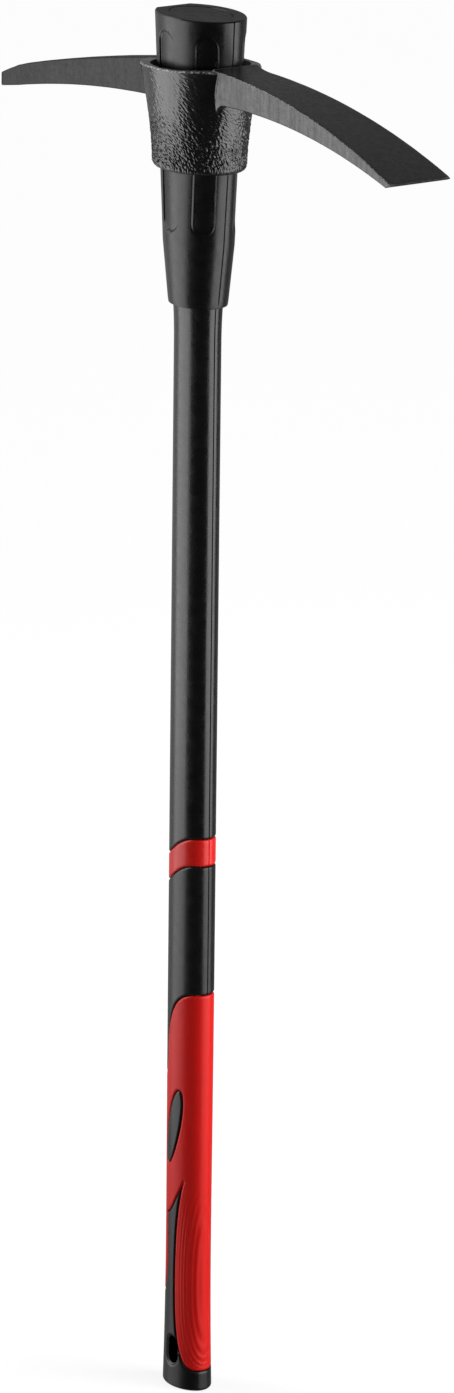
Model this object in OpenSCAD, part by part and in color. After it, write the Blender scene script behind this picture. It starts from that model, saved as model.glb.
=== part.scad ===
// Pick mattock with a drop-through handle.
// +Z runs up the handle and +X points towards the adze. The origin is the middle of the flat butt face.

/* [Handle] */
// Length of the handle, from its butt face to its top
handle_l = 900; // [860:5:1000]
// Width of the shaft oval, along X
shaft_w = 36.4; // [34.8:0.2:38]
// Thickness of the shaft oval, along Y
shaft_t = 24.9; // [23.5:0.1:27]
// Width of the oval fibreglass core rod
core_w = 19; // [15:0.5:20]
// Height of the core rod's foot above the butt face
core_foot = 46; // [42:1:60]
// Swelling of the shaft where it enters the eye sleeve
shoulder = 0.9; // [0:0.1:2]
// Height of that swelling
shoulder_h = 24; // [10:1:60]
// Seam left between neighbouring moulded pieces
seam = 0.2; // [0.1:0.05:0.3]

/* [Eye sleeve] */
// Width of the sleeve oval at its top
sleeve_w = 72; // [68:0.5:76]
// Thickness of the sleeve oval at its top
sleeve_t = 48; // [45:0.5:52]
// Height of the sleeve
sleeve_h = 183; // [170:1:200]
// Width of the sleeve oval where its steeper foot starts
sleeve_waist_w = 55.8; // [53:0.2:58]
// Height of the steeper foot
sleeve_foot_h = 39; // [30:1:50]
// Width of the sleeve oval at its lower end
sleeve_end_w = 47.2; // [44:0.2:50]
// Depth of the socket that takes the shaft jacket
socket_h = 24; // [10:1:35]
// Bevel round the top of the sleeve
sleeve_bevel = 0.8; // [0.2:0.1:2]
// Distance of the flat on the sleeve's pick side from the axis
key_flat = 30; // [29:0.5:38]
// Width of a flute
flute_w = 14; // [8:0.5:16]
// Depth of a flute
flute_depth = 1.6; // [0.8:0.1:2.5]
// Distance of the flutes below the top of the sleeve
flute_drop = 11; // [6:1:30]
// Length of a flute
flute_l = 127; // [60:1:135]
// Width of the oval plug in the top
plug_w = 50; // [40:0.5:54]
// Depth of the oval plug
plug_h = 7; // [4:0.5:15]

/* [Head] */
// Distance of the head's crown below the top of the handle
crown_drop = 31; // [20:1:50]
// Height of the eye collar
collar_h = 65.5; // [60:0.5:75]
// Width of the collar at its rim
collar_w = 95; // [88:0.5:110]
// Thickness of the collar at its rim
collar_t = 64.6; // [60:0.2:76]
// Width of the collar above its foot
collar_foot_w = 74.4; // [72:0.2:84]
// Rounding of the collar's foot
collar_round = 4; // [1:0.5:5]
// Bevel round the collar's rim
collar_bevel = 1; // [0.5:0.1:2]
// Clearance between the eye and the sleeve
eye_gap = 0.4; // [0.3:0.05:0.5]

/* [Adze] */
// Reach of the cutting edge from the axis
adze_reach = 229; // [180:0.5:260]
// Drop of the cutting edge below the highest place of the blade's upper face
adze_drop = 35; // [20:0.2:50]
// Distance from the axis at which the collar's crown is level
crown_x = 20.8; // [0:0.2:50]
// Distance from the axis at which the blade's upper face is level
blade_x = 35; // [20:0.5:60]
// Height of the blade's upper face above the crown at that place
blade_rise = 0.6; // [0:0.1:2]
// Width of the cutting edge
adze_edge_w = 45; // [36:0.5:70]
// Width of the blade where it leaves the collar
adze_root_w = 28; // [22:0.5:40]
// Drop of the highest point of the blade's hollow underside below the crown
hollow_drop = 17.9; // [14:0.1:26]
// Distance of that point from the axis
hollow_x = 76; // [70:1:110]
// Thickness left at the cutting edge
adze_edge_t = 1.2; // [0.8:0.1:4]
// Length of the ground bevel under the cutting edge
bevel_l = 5.5; // [3:0.5:20]
// Thickness of the blade where the bevel starts
bevel_t = 4.7; // [3:0.1:8]

/* [Pick] */
// Reach of the pick's point from the axis
pick_reach = 217; // [180:1:260]
// Thickness of the pick where it leaves the collar
pick_root_t = 14; // [12:0.5:24]
// Thickness of the pick at its point
pick_tip_t = 10; // [6:0.5:12]
// Depth of the pick where it leaves the collar
pick_root_h = 23.6; // [18:0.2:30]
// Depth of the pick where its point starts
pick_neck_h = 12.6; // [9:0.2:18]
// Depth of the blunt point
pick_tip_h = 8.8; // [4:0.2:10]
// Length of the bevelled point
pick_tip_l = 20; // [10:1:40]
// Drop of the pick's underside below the crown where its point starts
pick_neck_drop = 47.2; // [35:0.2:60]
// Further drop of the underside to the point
pick_tip_drop = 3.5; // [0:0.1:6]
// Bow of the pick's upper edge
pick_top_bow = 1.2; // [0.6:0.1:4]
// Bow of the pick's lower edge
pick_under_bow = 2.9; // [1:0.1:6]

/* [Grip] */
// Width of the grip oval at its waist
waist_w = 35.4; // [34:0.1:37]
// Width of the butt
butt_w = 39.4; // [37:0.2:42]
// Height of the butt's flare
flare_h = 98; // [70:1:120]
// Height over which the grip swells from its waist to the shaft
taper_h = 165; // [100:5:200]
// Rounding round the butt face
butt_round = 2.5; // [1.5:0.5:8]
// Thickness of the soft skin
skin_t = 1.8; // [1.2:0.1:2]
// Height of the red band's upper edge on the adze side
band_z = 372; // [330:1:420]
// Height of the red band
band_h = 18; // [10:0.2:30]
// Drop of the band towards the pick side
band_drop = 16.5; // [0:0.5:24]
// Height of the red skin's upper edge on the adze side
skin_z = 268.5; // [250:0.5:290]
// Height of the convex part of that edge
skin_cap_h = 41; // [20:1:50]
// Height of its hollow part on the pick side
skin_heel_h = 20; // [10:1:30]

/* [Black inlays] */
// Height of the leaf's middle
leaf_z = 177; // [170:0.5:190]
// Distance of the leaf's middle from the axis, towards the adze
leaf_x = -1.1; // [-3:0.1:4]
// Length of the leaf
leaf_l = 53; // [40:1:60]
// Width of the leaf
leaf_w = 13.2; // [7:0.2:15]
// Tilt of the leaf towards the adze
leaf_tilt = 13.6; // [0:0.2:20]
// Height of the tail's point
tail_z = 141; // [130:0.5:148]
// Distance of the tail's point from the axis, towards the adze
tail_x = 8.8; // [6:0.2:12]
// Height of the tail's shoulder
notch_z = 118.5; // [110:0.5:128]
// Distance of the tail's shoulder from the axis, towards the pick
notch_x = 5.8; // [4:0.1:7]
// Distance of the front tongue's edge from the axis where it is widest, towards the adze
front_edge_x = 1.9; // [0.5:0.1:4]
// Distance of the rear tongue's edge from the axis where it is widest, towards the pick
rear_edge_x = 6.7; // [4.5:0.1:8]
// Height of the lower end of the red tongue on the adze side
front_tongue_z = 13.6; // [8:0.2:16]
// Height of the lower end of the red tongue on the pick side
rear_tongue_z = 60; // [40:1:66]
// Height where the front tongue is widest
front_belly_z = 78; // [60:1:90]
// Height where the rear tongue is widest
rear_belly_z = 93; // [80:1:100]

/* [Hang hole] */
// Height of the middle of the hang hole
hole_z = 25; // [22:0.5:28]
// Width of the hang hole
hole_w = 12; // [6:0.5:13]
// Height of the hang hole
hole_h = 20; // [15:0.5:22]

/* [Hidden] */
$fn = 180;
// Sides of the large discs that shape the blades
disc_sides = 1440;
// Sides of the rods that cut the flutes
flute_sides = 48;
// Length by which a cut runs past a face
overrun = 6;
black = "#1c1c1d";
steel = "#2b2c2d";
red = "#c8201f";
glass = "#d8cfa4";

// Levels along the handle
sleeve_z = handle_l - sleeve_h;
waist_z = sleeve_z + sleeve_foot_h;
crown_z = handle_l - crown_drop;
collar_z = crown_z - collar_h;
core_top = handle_l - plug_h;
core_bore_w = core_w + 2 * seam;
skin_inset = skin_t + seam;
// Half width that every cut across the handle clears
reach = butt_w;

// Thickness of the handle and of the sleeve for a width of one
handle_squash = shaft_t / shaft_w;
sleeve_squash = sleeve_t / sleeve_w;
// Radii of the collar's crown and of the blade's upper face
crown_r = arc_r(adze_reach - crown_x, adze_drop);
blade_r = arc_r(adze_reach - blade_x, adze_drop);
// Place where the bevel under the cutting edge starts, and radius of the hollow underside up to it
bevel_x = adze_reach - bevel_l;
bevel_z = blade_at(bevel_x) - bevel_t;
hollow_r = arc_r(bevel_x - hollow_x, crown_z - hollow_drop - bevel_z);

// Steps of the swept curves
rim_steps = 6;
flare_steps = 8;
taper_steps = 6;
shoulder_steps = 4;
wave_steps = 16;
collar_steps = 10;
// Shares of the shaft's half width where the band starts and ends its drop
wave_start_share = 0.82;
wave_end_share = -1.18;
// Share of the shaft's half width under the end of the red skin's level edge
cap_share = 0.86;
// Share of the width of the red skin's edge that is convex
convex_share = 0.735;
// Power of the collar's flare
collar_curve = 1.6;
// Angles round the sleeve oval at which the flutes of one side lie
flute_angles = [42, 90, 138];
// Shares of the tongues' belly heights by which they run on above the belly
front_rise_share = 1.02;
rear_rise_share = 0.69;

// Radius of an arc that starts level and drops over a run
function arc_r(run, drop) = (run * run + drop * drop) / (2 * drop);

// Radius of an arc that bows out from a chord
function bow_r(p, q, bow) = let (d = norm(q - p)) (d * d / 4 + bow * bow) / (2 * bow);

// Smooth step from 0 to 1
function ease(u) = let (v = min(max(u, 0), 1)) v * v * (3 - 2 * v);

// Even steps between two values
function steps(from, to, count) = [for (i = [0:count]) from + (to - from) * i / count];

// How far the rounded rim of the butt lies inside its flank
function rim_inset(z) =
    let (up = min(max(z, 0), butt_round)) butt_round - sqrt(pow(butt_round, 2) - pow(butt_round - up, 2));

// Half width of the handle below the eye sleeve
function handle_r(z) =
    waist_w / 2
    + (butt_w - waist_w) / 2 * pow(max(1 - z / flare_h, 0), 2)
    + (shaft_w - waist_w) / 2 * ease((z - flare_h) / taper_h)
    + shoulder * pow(min(max((z - sleeve_z) / shoulder_h + 1, 0), 1), 2)
    - rim_inset(z);

// Levels at which the handle's flank changes direction
knots = concat(
    [for (a = steps(0, 90, rim_steps)) butt_round * (1 - cos(a))],
    steps(butt_round, flare_h, flare_steps),
    steps(flare_h, flare_h + taper_h, taper_steps),
    steps(sleeve_z - shoulder_h, sleeve_z, shoulder_steps)
);

// The levels between two heights, without repeats
function levels(low, high) =
    let (
        inner = [for (z = knots) if (z > low + seam && z < high - seam) z],
        apart = [for (i = [0:1:len(inner) - 1]) if (i == 0 || inner[i] > inner[i - 1] + seam) inner[i]]
    )
    concat([low], apart, [high]);

// Half width of the eye sleeve above its foot
function sleeve_r(z) =
    sleeve_waist_w / 2 + (sleeve_w - sleeve_waist_w) / 2 * (z - waist_z) / (handle_l - waist_z);

// Half width of the collar
function collar_r(z) =
    let (low = collar_z + collar_round)
    collar_foot_w / 2
    + (collar_w - collar_foot_w) / 2 * pow(max((z - low) / (crown_z - low), 0), collar_curve);

// Height of the crown's arc
function crown_at(x) = crown_z - crown_r + sqrt(pow(crown_r, 2) - pow(x - crown_x, 2));

// Height of the blade's upper face
function blade_at(x) = crown_z + blade_rise - blade_r + sqrt(pow(blade_r, 2) - pow(x - blade_x, 2));

// Middle of a disc whose upper edge passes through two points, the first on the left
function disc_middle(p, q, r) =
    let (u = q - p, d = norm(u)) (p + q) / 2 + sqrt(r * r - d * d / 4) / d * [u[1], -u[0]];

// Height of the red band's upper edge
function wave(x) =
    let (
        half = shaft_w / 2,
        u = (wave_start_share * half - x) / ((wave_start_share - wave_end_share) * half),
        v = min(max(u, 0), 1)
    )
    band_z - band_drop * (1 - cos(180 * v)) / 2;

// Squeezes round pieces along Y into ovals
module squash(ratio) {
    scale([1, ratio, 1]) children();
}

// Plate across the whole handle, from an outline drawn in X and Z
module across(width) {
    rotate([90, 0, 0]) linear_extrude(width, center = true) children();
}

// Round handle between two heights, cut back by an inset
module handle_body(low, high, inset = 0) {
    rotate_extrude()
        polygon(concat([[0, low]], [for (z = levels(low, high)) [handle_r(z) - inset, z]], [[0, high]]));
}

// Bore for the core rod
module core_bore() {
    translate([0, 0, core_foot]) cylinder(d = core_bore_w, h = handle_l);
}

// Skin of the grip between two heights
module skin_shell(low, high) {
    difference() {
        handle_body(low, high);
        handle_body(low - overrun / 2, high + overrun, skin_t);
    }
}

// Outline of everything below the band's upper edge, moved down
module below_wave(down) {
    curve = [for (x = steps(shaft_w / 2, -shaft_w / 2, wave_steps)) [x, wave(x) - down]];
    polygon(concat(
        [[-reach, 0], [reach, 0], [reach, wave(reach) - down]],
        curve,
        [[-reach, wave(-reach) - down]]
    ));
}

// Outline of everything below the red skin's upper edge, moved down
module below_skin_edge(down) {
    right = cap_share * shaft_w / 2;
    left = -shaft_w / 2;
    bend = right - convex_share * (right - left);
    bend_z = skin_z - skin_cap_h;
    cap = [for (a = steps(90, 180, wave_steps / 2))
        [right + (right - bend) * cos(a), bend_z + skin_cap_h * sin(a) - down]];
    heel = [for (a = steps(0, 90, wave_steps / 2))
        [left + (bend - left) * cos(a), bend_z - skin_heel_h * sin(a) - down]];
    polygon(concat(
        [[-reach, 0], [reach, 0], [reach, skin_z - down]],
        cap,
        [for (i = [1:len(heel) - 1]) heel[i]],
        [[-reach, bend_z - skin_heel_h - down]]
    ));
}

// Oval tongue with different heights above and below its belly, grown on all sides
module tongue(x, belly, half, rise, fall, grow) {
    translate([x, belly]) {
        intersection() {
            scale([(half + grow) / (rise + grow), 1]) circle(rise + grow);
            translate([-reach, 0]) square([2 * reach, rise + overrun]);
        }
        intersection() {
            scale([(half + grow) / (fall + grow), 1]) circle(fall + grow);
            translate([-reach, -fall - overrun]) square([2 * reach, fall + overrun]);
        }
    }
}

// Outline of the black tail and butt, cut back by a seam
module tail(back) {
    edge = butt_w / 2;
    front_rise = front_belly_z * front_rise_share;
    rear_rise = rear_belly_z * rear_rise_share;
    difference() {
        polygon([
            [-reach, -reach], [reach, -reach], [reach, tail_z - back], [tail_x, tail_z - back],
            [-notch_x, notch_z - back], [-reach, notch_z - back]
        ]);
        tongue(edge, front_belly_z, edge - front_edge_x, front_rise, front_belly_z - front_tongue_z, back);
        tongue(-edge, rear_belly_z, edge - rear_edge_x, rear_rise, rear_belly_z - rear_tongue_z, back);
    }
}

// Outline of the leaf, grown on all sides
module leaf(grow) {
    translate([leaf_x, leaf_z]) rotate(-leaf_tilt)
        scale([(leaf_w / 2 + grow) / (leaf_l / 2 + grow), 1]) circle(leaf_l / 2 + grow);
}

// Disc whose upper edge bows out above two points
module disc(p, q, bow) {
    r = bow_r(p, q, bow);
    translate(disc_middle(p, q, r)) circle(r, $fn = disc_sides);
}

// Disc under the crown's arc
module crown_disc() {
    translate([crown_x, crown_z - crown_r]) circle(crown_r, $fn = disc_sides);
}

// Round-ended rod between two points
module capsule(p, q, r) {
    u = q - p;
    translate(p) sphere(r, $fn = flute_sides);
    translate(q) sphere(r, $fn = flute_sides);
    translate(p) rotate([0, acos(u[2] / norm(u)), atan2(u[1], u[0])])
        cylinder(r = r, h = norm(u), $fn = flute_sides);
}

// Cutter of one flute, at an angle round the sleeve oval, square to its surface
module flute(angle) {
    r = (pow(flute_w / 2, 2) + pow(flute_depth, 2)) / (2 * flute_depth);
    ends = [handle_l - flute_drop - flute_l + flute_w / 2, handle_l - flute_drop - flute_w / 2];
    lift = r - flute_depth;
    facing = atan2(sin(angle), sleeve_squash * cos(angle));
    rail = [for (z = ends) [
        sleeve_r(z) * cos(angle) + lift * cos(facing),
        sleeve_r(z) * sleeve_squash * sin(angle) + lift * sin(facing),
        z
    ]];
    capsule(rail[0], rail[1], r);
}

// Eye collar before its bore, trimmed by the crown
module collar() {
    low = collar_z + collar_round;
    foot = [for (a = steps(0, 90, rim_steps))
        [collar_foot_w / 2 - collar_round * (1 - sin(a)), low - collar_round * cos(a)]];
    flank = [for (z = steps(low, crown_z - collar_bevel, collar_steps)) if (z > low) [collar_r(z), z]];
    squash(collar_t / collar_w) intersection() {
        rotate_extrude() polygon(concat(
            [[0, collar_z]], foot, flank, [[collar_w / 2 - collar_bevel, crown_z], [0, crown_z]]
        ));
        across(2 * collar_w) crown_disc();
    }
}

// Drooping adze blade, flat across its width, ground to a bevel under its edge
module adze() {
    root = sleeve_w / 2;
    spread = (adze_edge_w - adze_root_w) / 2 / (adze_reach - collar_w / 2);
    half_root = adze_root_w / 2 - spread * (collar_w / 2 - root);
    intersection() {
        across(2 * adze_edge_w) difference() {
            intersection() {
                translate([blade_x, crown_z + blade_rise - blade_r]) circle(blade_r, $fn = disc_sides);
                translate([root, collar_z]) square([adze_reach - root, collar_h + overrun]);
            }
            translate([hollow_x, crown_z - hollow_drop - hollow_r]) circle(hollow_r, $fn = disc_sides);
            polygon([
                [bevel_x, bevel_z], [bevel_x, collar_z], [adze_reach, collar_z],
                [adze_reach, blade_at(adze_reach) - adze_edge_t]
            ]);
        }
        translate([0, 0, collar_z]) linear_extrude(collar_h + overrun) polygon([
            [root, -half_root], [adze_reach, -adze_edge_w / 2],
            [adze_reach, adze_edge_w / 2], [root, half_root]
        ]);
    }
}

// Tapering pick with a blunt bevelled point
module pick() {
    root = sleeve_w / 2;
    rim = collar_w / 2;
    slim = (pick_root_t - pick_tip_t) / 2 / (pick_reach - rim);
    half_root = pick_root_t / 2 + slim * (rim - root);
    neck_x = pick_reach - pick_tip_l;
    neck_z = crown_z - pick_neck_drop;
    tip_z = neck_z - pick_tip_drop;
    intersection() {
        across(2 * pick_root_t) difference() {
            intersection() {
                disc([-neck_x, neck_z + pick_neck_h], [-rim, crown_at(-rim)], pick_top_bow);
                polygon([
                    [-pick_reach, tip_z], [-pick_reach, tip_z + pick_tip_h], [-neck_x, neck_z + pick_neck_h],
                    [-neck_x, crown_z], [-root, crown_z], [-root, neck_z], [-neck_x, neck_z]
                ]);
            }
            disc([-neck_x, neck_z], [-rim, crown_at(-rim) - pick_root_h], pick_under_bow);
        }
        translate([0, 0, tip_z - overrun]) linear_extrude(crown_z - tip_z + 2 * overrun) polygon([
            [-root, -half_root], [-root, half_root],
            [-pick_reach, pick_tip_t / 2], [-pick_reach, -pick_tip_t / 2]
        ]);
    }
}

// Forged head: eye collar, adze and pick in one piece
module head() {
    ends = [collar_z - overrun, crown_z + overrun];
    color(steel) difference() {
        union() {
            collar();
            adze();
            pick();
        }
        squash(sleeve_squash) rotate_extrude() polygon([
            [0, ends[0]], [sleeve_r(ends[0]) + eye_gap, ends[0]],
            [sleeve_r(ends[1]) + eye_gap, ends[1]], [0, ends[1]]
        ]);
    }
}

// Half of the fluted sleeve, on the +Y side
module sleeve_half() {
    difference() {
        squash(sleeve_squash) difference() {
            rotate_extrude(angle = 180) polygon([
                [0, sleeve_z], [sleeve_end_w / 2, sleeve_z], [sleeve_waist_w / 2, waist_z],
                [sleeve_r(handle_l - sleeve_bevel), handle_l - sleeve_bevel],
                [sleeve_w / 2 - sleeve_bevel, handle_l], [0, handle_l]
            ]);
            translate([-key_flat - sleeve_w, -sleeve_w, sleeve_z])
                cube([sleeve_w, 2 * sleeve_w, sleeve_h + overrun]);
            translate([0, 0, core_top]) cylinder(d = plug_w + 2 * seam, h = plug_h + overrun);
        }
        for (angle = flute_angles) flute(angle);
        squash(handle_squash) {
            handle_body(sleeve_z - overrun, sleeve_z + socket_h, -seam);
            core_bore();
        }
    }
}

// Fluted tapered sleeve that the eye seats on
module eye_sleeve() {
    color(black) {
        sleeve_half();
        mirror([0, 1, 0]) sleeve_half();
    }
}

// Oval plug that closes the top of the sleeve over the core rod
module top_plug() {
    color(black) squash(sleeve_squash) translate([0, 0, core_top + seam])
        cylinder(d = plug_w, h = plug_h - 2 * seam);
}

// Fibreglass rod through the whole handle
module core_rod() {
    color(glass) squash(handle_squash) translate([0, 0, core_foot + seam])
        cylinder(d = core_w, h = core_top - core_foot - seam);
}

// Black jacket of the bare shaft
module shaft_jacket() {
    color(black) squash(handle_squash) difference() {
        handle_body(band_z - band_drop - overrun, sleeve_z + socket_h - seam);
        across(2 * reach) below_wave(0);
        core_bore();
    }
}

// Red ring between the shaft jacket and the grip
module red_band() {
    color(red) squash(handle_squash) difference() {
        intersection() {
            handle_body(band_z - band_drop - band_h - overrun, band_z + overrun);
            across(2 * reach) below_wave(seam);
        }
        across(2 * reach) below_wave(band_h);
        core_bore();
    }
}

// Black grip sleeve, bare above the red skin and stepped down under it
module grip_sleeve() {
    color(black) squash(handle_squash) difference() {
        union() {
            handle_body(core_foot, skin_z, skin_inset);
            intersection() {
                difference() {
                    handle_body(skin_z - skin_cap_h - skin_heel_h - overrun, band_z);
                    across(2 * reach) below_skin_edge(-seam);
                }
                across(2 * reach) below_wave(band_h + seam);
            }
        }
        core_bore();
    }
}

// Soft red skin with its two tongues and the windows for the inlays
module grip_skin() {
    color(red) squash(handle_squash) difference() {
        intersection() {
            skin_shell(front_tongue_z - overrun / 2, skin_z + overrun);
            across(2 * reach) below_skin_edge(0);
        }
        across(2 * reach) tail(0);
        across(2 * reach) leaf(seam);
    }
}

// Black leaf let into one side of the skin
module leaf_pad_back() {
    color(black) intersection() {
        squash(handle_squash) skin_shell(leaf_z - leaf_l, leaf_z + leaf_l);
        across(2 * reach) leaf(0);
        translate([-reach, 0, leaf_z - leaf_l]) cube([2 * reach, reach, 2 * leaf_l]);
    }
}

// The same leaf on the other side
module leaf_pad_front() {
    mirror([0, 1, 0]) leaf_pad_back();
}

// Black butt with its hang hole, and the tails that run up between the tongues
module butt_cap() {
    straight = (hole_h - hole_w) / 2;
    color(black) difference() {
        squash(handle_squash) difference() {
            union() {
                intersection() {
                    handle_body(-overrun, tail_z);
                    across(2 * reach) tail(seam);
                }
                handle_body(front_tongue_z / 2, core_foot - seam, skin_inset);
            }
            handle_body(core_foot - seam, tail_z + overrun, skin_t);
            across(2 * reach) translate([0, hole_z]) {
                translate([0, straight]) circle(d = hole_w);
                translate([0, -straight]) circle(d = hole_w);
                square([hole_w, 2 * straight], center = true);
            }
        }
        translate([-reach, -reach, -reach]) cube([2 * reach, 2 * reach, reach]);
    }
}

head();
eye_sleeve();
top_plug();
core_rod();
shaft_jacket();
red_band();
grip_sleeve();
grip_skin();
leaf_pad_front();
leaf_pad_back();
butt_cap();
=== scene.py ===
import math

import bmesh
import bpy
import numpy as np
from bpy.props import FloatProperty, FloatVectorProperty, PointerProperty
from bpy.types import Operator, Panel, PropertyGroup
from mathutils import Matrix, Vector, noise


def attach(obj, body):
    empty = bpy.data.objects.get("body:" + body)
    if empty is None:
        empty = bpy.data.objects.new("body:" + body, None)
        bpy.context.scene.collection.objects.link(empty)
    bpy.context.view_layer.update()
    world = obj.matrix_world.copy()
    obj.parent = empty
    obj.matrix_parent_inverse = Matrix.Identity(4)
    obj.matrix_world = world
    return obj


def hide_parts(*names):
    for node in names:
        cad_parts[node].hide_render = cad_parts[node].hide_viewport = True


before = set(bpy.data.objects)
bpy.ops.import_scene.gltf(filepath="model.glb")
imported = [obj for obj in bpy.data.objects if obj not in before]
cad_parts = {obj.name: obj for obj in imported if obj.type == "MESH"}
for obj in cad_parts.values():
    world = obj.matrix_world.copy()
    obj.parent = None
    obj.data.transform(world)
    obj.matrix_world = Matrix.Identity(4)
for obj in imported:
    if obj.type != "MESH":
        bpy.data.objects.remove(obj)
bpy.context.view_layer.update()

bl_info = {
    "name": "Pick Mattock",
    "version": (1, 0, 0),
    "blender": (4, 5, 0),
    "location": "View3D > Sidebar > Mattock",
    "description": "Dresses the packed pick mattock with its forged head and its moulded handle",
    "category": "Object",
}

# Metres in a millimetre
MM = 0.001

# Smallest divisor of a field, and the distance within which points are one
TINY = 1e-6
WELD = 1e-7

# Height of the finest surface grain, and the range in which most of a noise lies
GRAIN = 0.1 * MM
NOISE_MIDDLE = (0.3, 0.7)

# The head's paint: refraction, darkest and palest tone, and how pointed a form is before it takes the pale
# paint, which is partly worn-thin paint and partly painted glints
PAINT_IOR = 1.55
PAINT_TONES = (0.75, 1.35)
RUBBED_AND_GLINT_FORM = (0.53, 0.60)

# Noise at which the pale patches start and are full, on sharp forms and along the edges; they are partly
# worn-thin paint and partly painted glints and highlights
FORM_PATCHES = (0.35, 0.6)
EDGE_PATCHES = (0.4, 0.62)

# Least share of the pale paint, worn thin and painted glint, on a sharp form, and the share of the shine that
# brushing takes
LEAST_RUBBED_AND_GLINT = 0.2
BRUSHED_LOSS = 0.4

# Tone of the handle's top end against the black plastic
END_TONE = 1.6

# Tone of the hang hole's bore and lip against the black rubber: the bore darker as painted shade, the lip
# paler as a painted highlight
BORE_SHADE_TONE = 0.3
LIP_HIGHLIGHT_TONE = 16


def length(name, description, millimetres):
    """A length property whose default is given in millimetres."""
    return FloatProperty(
        name=name,
        description=description,
        default=millimetres * MM,
        precision=5,
        subtype="DISTANCE",
        unit="LENGTH",
    )


def metres(name, description, value):
    """A length property whose default is given in metres."""
    return FloatProperty(name=name, description=description, default=value, precision=4, unit="LENGTH")


def share(name, description, value):
    """A plain number, such as a share or a power."""
    return FloatProperty(name=name, description=description, default=value, precision=3)


def strength(name, description, watts):
    """Strength of a lamp in watts per square metre."""
    return FloatProperty(name=name, description=description, default=watts, precision=2)


def angle(name, description, degrees):
    """An angle property whose default is given in degrees."""
    return FloatProperty(
        name=name, description=description, default=math.radians(degrees), subtype="ANGLE", unit="ROTATION"
    )


def tint(name, description, value):
    """A linear colour."""
    return FloatVectorProperty(
        name=name, description=description, default=value, size=3, min=0, max=1, subtype="COLOR"
    )


class HandleSizes(PropertyGroup):
    """Sizes of the shaft, the eye sleeve and the plug."""

    handle_l: length("Handle length", "From the butt face to the top of the sleeve", 900)
    shaft_w: length("Shaft width", "Width of the shaft oval along X", 37.0)
    shaft_t: length("Shaft thickness", "Thickness of the shaft oval along Y", 25.4)
    shoulder: length("Shoulder", "Swelling of the shaft under the sleeve", 0.9)
    shoulder_h: length("Shoulder height", "Height of that swelling", 24)
    sleeve_w: length("Sleeve width", "Width of the sleeve oval at its top", 72)
    sleeve_t: length("Sleeve thickness", "Thickness of the sleeve oval at its top", 48)
    sleeve_h: length("Sleeve height", "Height of the eye sleeve", 183)
    waist_w: length("Sleeve waist", "Width of the sleeve where its foot starts", 56.6)
    foot_h: length("Foot height", "Height of the sleeve's steeper foot", 39)
    end_w: length("Sleeve end", "Width of the sleeve at its lower end", 47.2)
    key_flat: length("Key flat", "Distance of the flat on the pick side from the axis", 30)
    bevel: length("Sleeve bevel", "Bevel round the sleeve's top", 0.8)
    flute_w: length("Flute width", "Width of a flute", 16.3)
    flute_depth: length("Flute depth", "Depth of a flute", 1.3)
    flute_wall: length("Flute wall", "Width of a flute's sloping wall", 1.2)
    flute_drop: length("Flute drop", "Distance of the flutes below the top", 9.5)
    flute_l: length("Flute length", "Length of a flute", 127)
    plug_w: length("Plug width", "Width of the oval plug in the top", 50)
    plug_h: length("Plug depth", "Depth of the oval plug", 7)
    seam: length("Seam", "Gap between neighbouring mouldings", 0.2)
    groove: length("Groove", "Gap that shows between neighbouring mouldings", 0.7)
    end_round_w: length("End rounding width", "Width of the rounding round the sleeve's lower end", 0.8)
    end_round_h: length("End rounding height", "Height of the rounding round the sleeve's lower end", 1)
    bore_bevel: length("Bore bevel", "Bevel of the bore at the sleeve's lower end", 0.4)
    seat_bevel: length("Seat bevel", "Bevel round the plug's seat", 0.1)
    plug_bevel: length("Plug bevel", "Bevel round the plug", 0.5)
    plug_dish: length("Plug dish", "Hollow of the plug's face", 0.25)
    jacket_t: length("Jacket", "Thickness of the shaft's jacket", 3)
    parting: length("Parting line", "Depth of the parting line along the handle", 0.4)
    parting_w: length("Parting width", "Half width of the parting line", 0.3)


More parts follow.
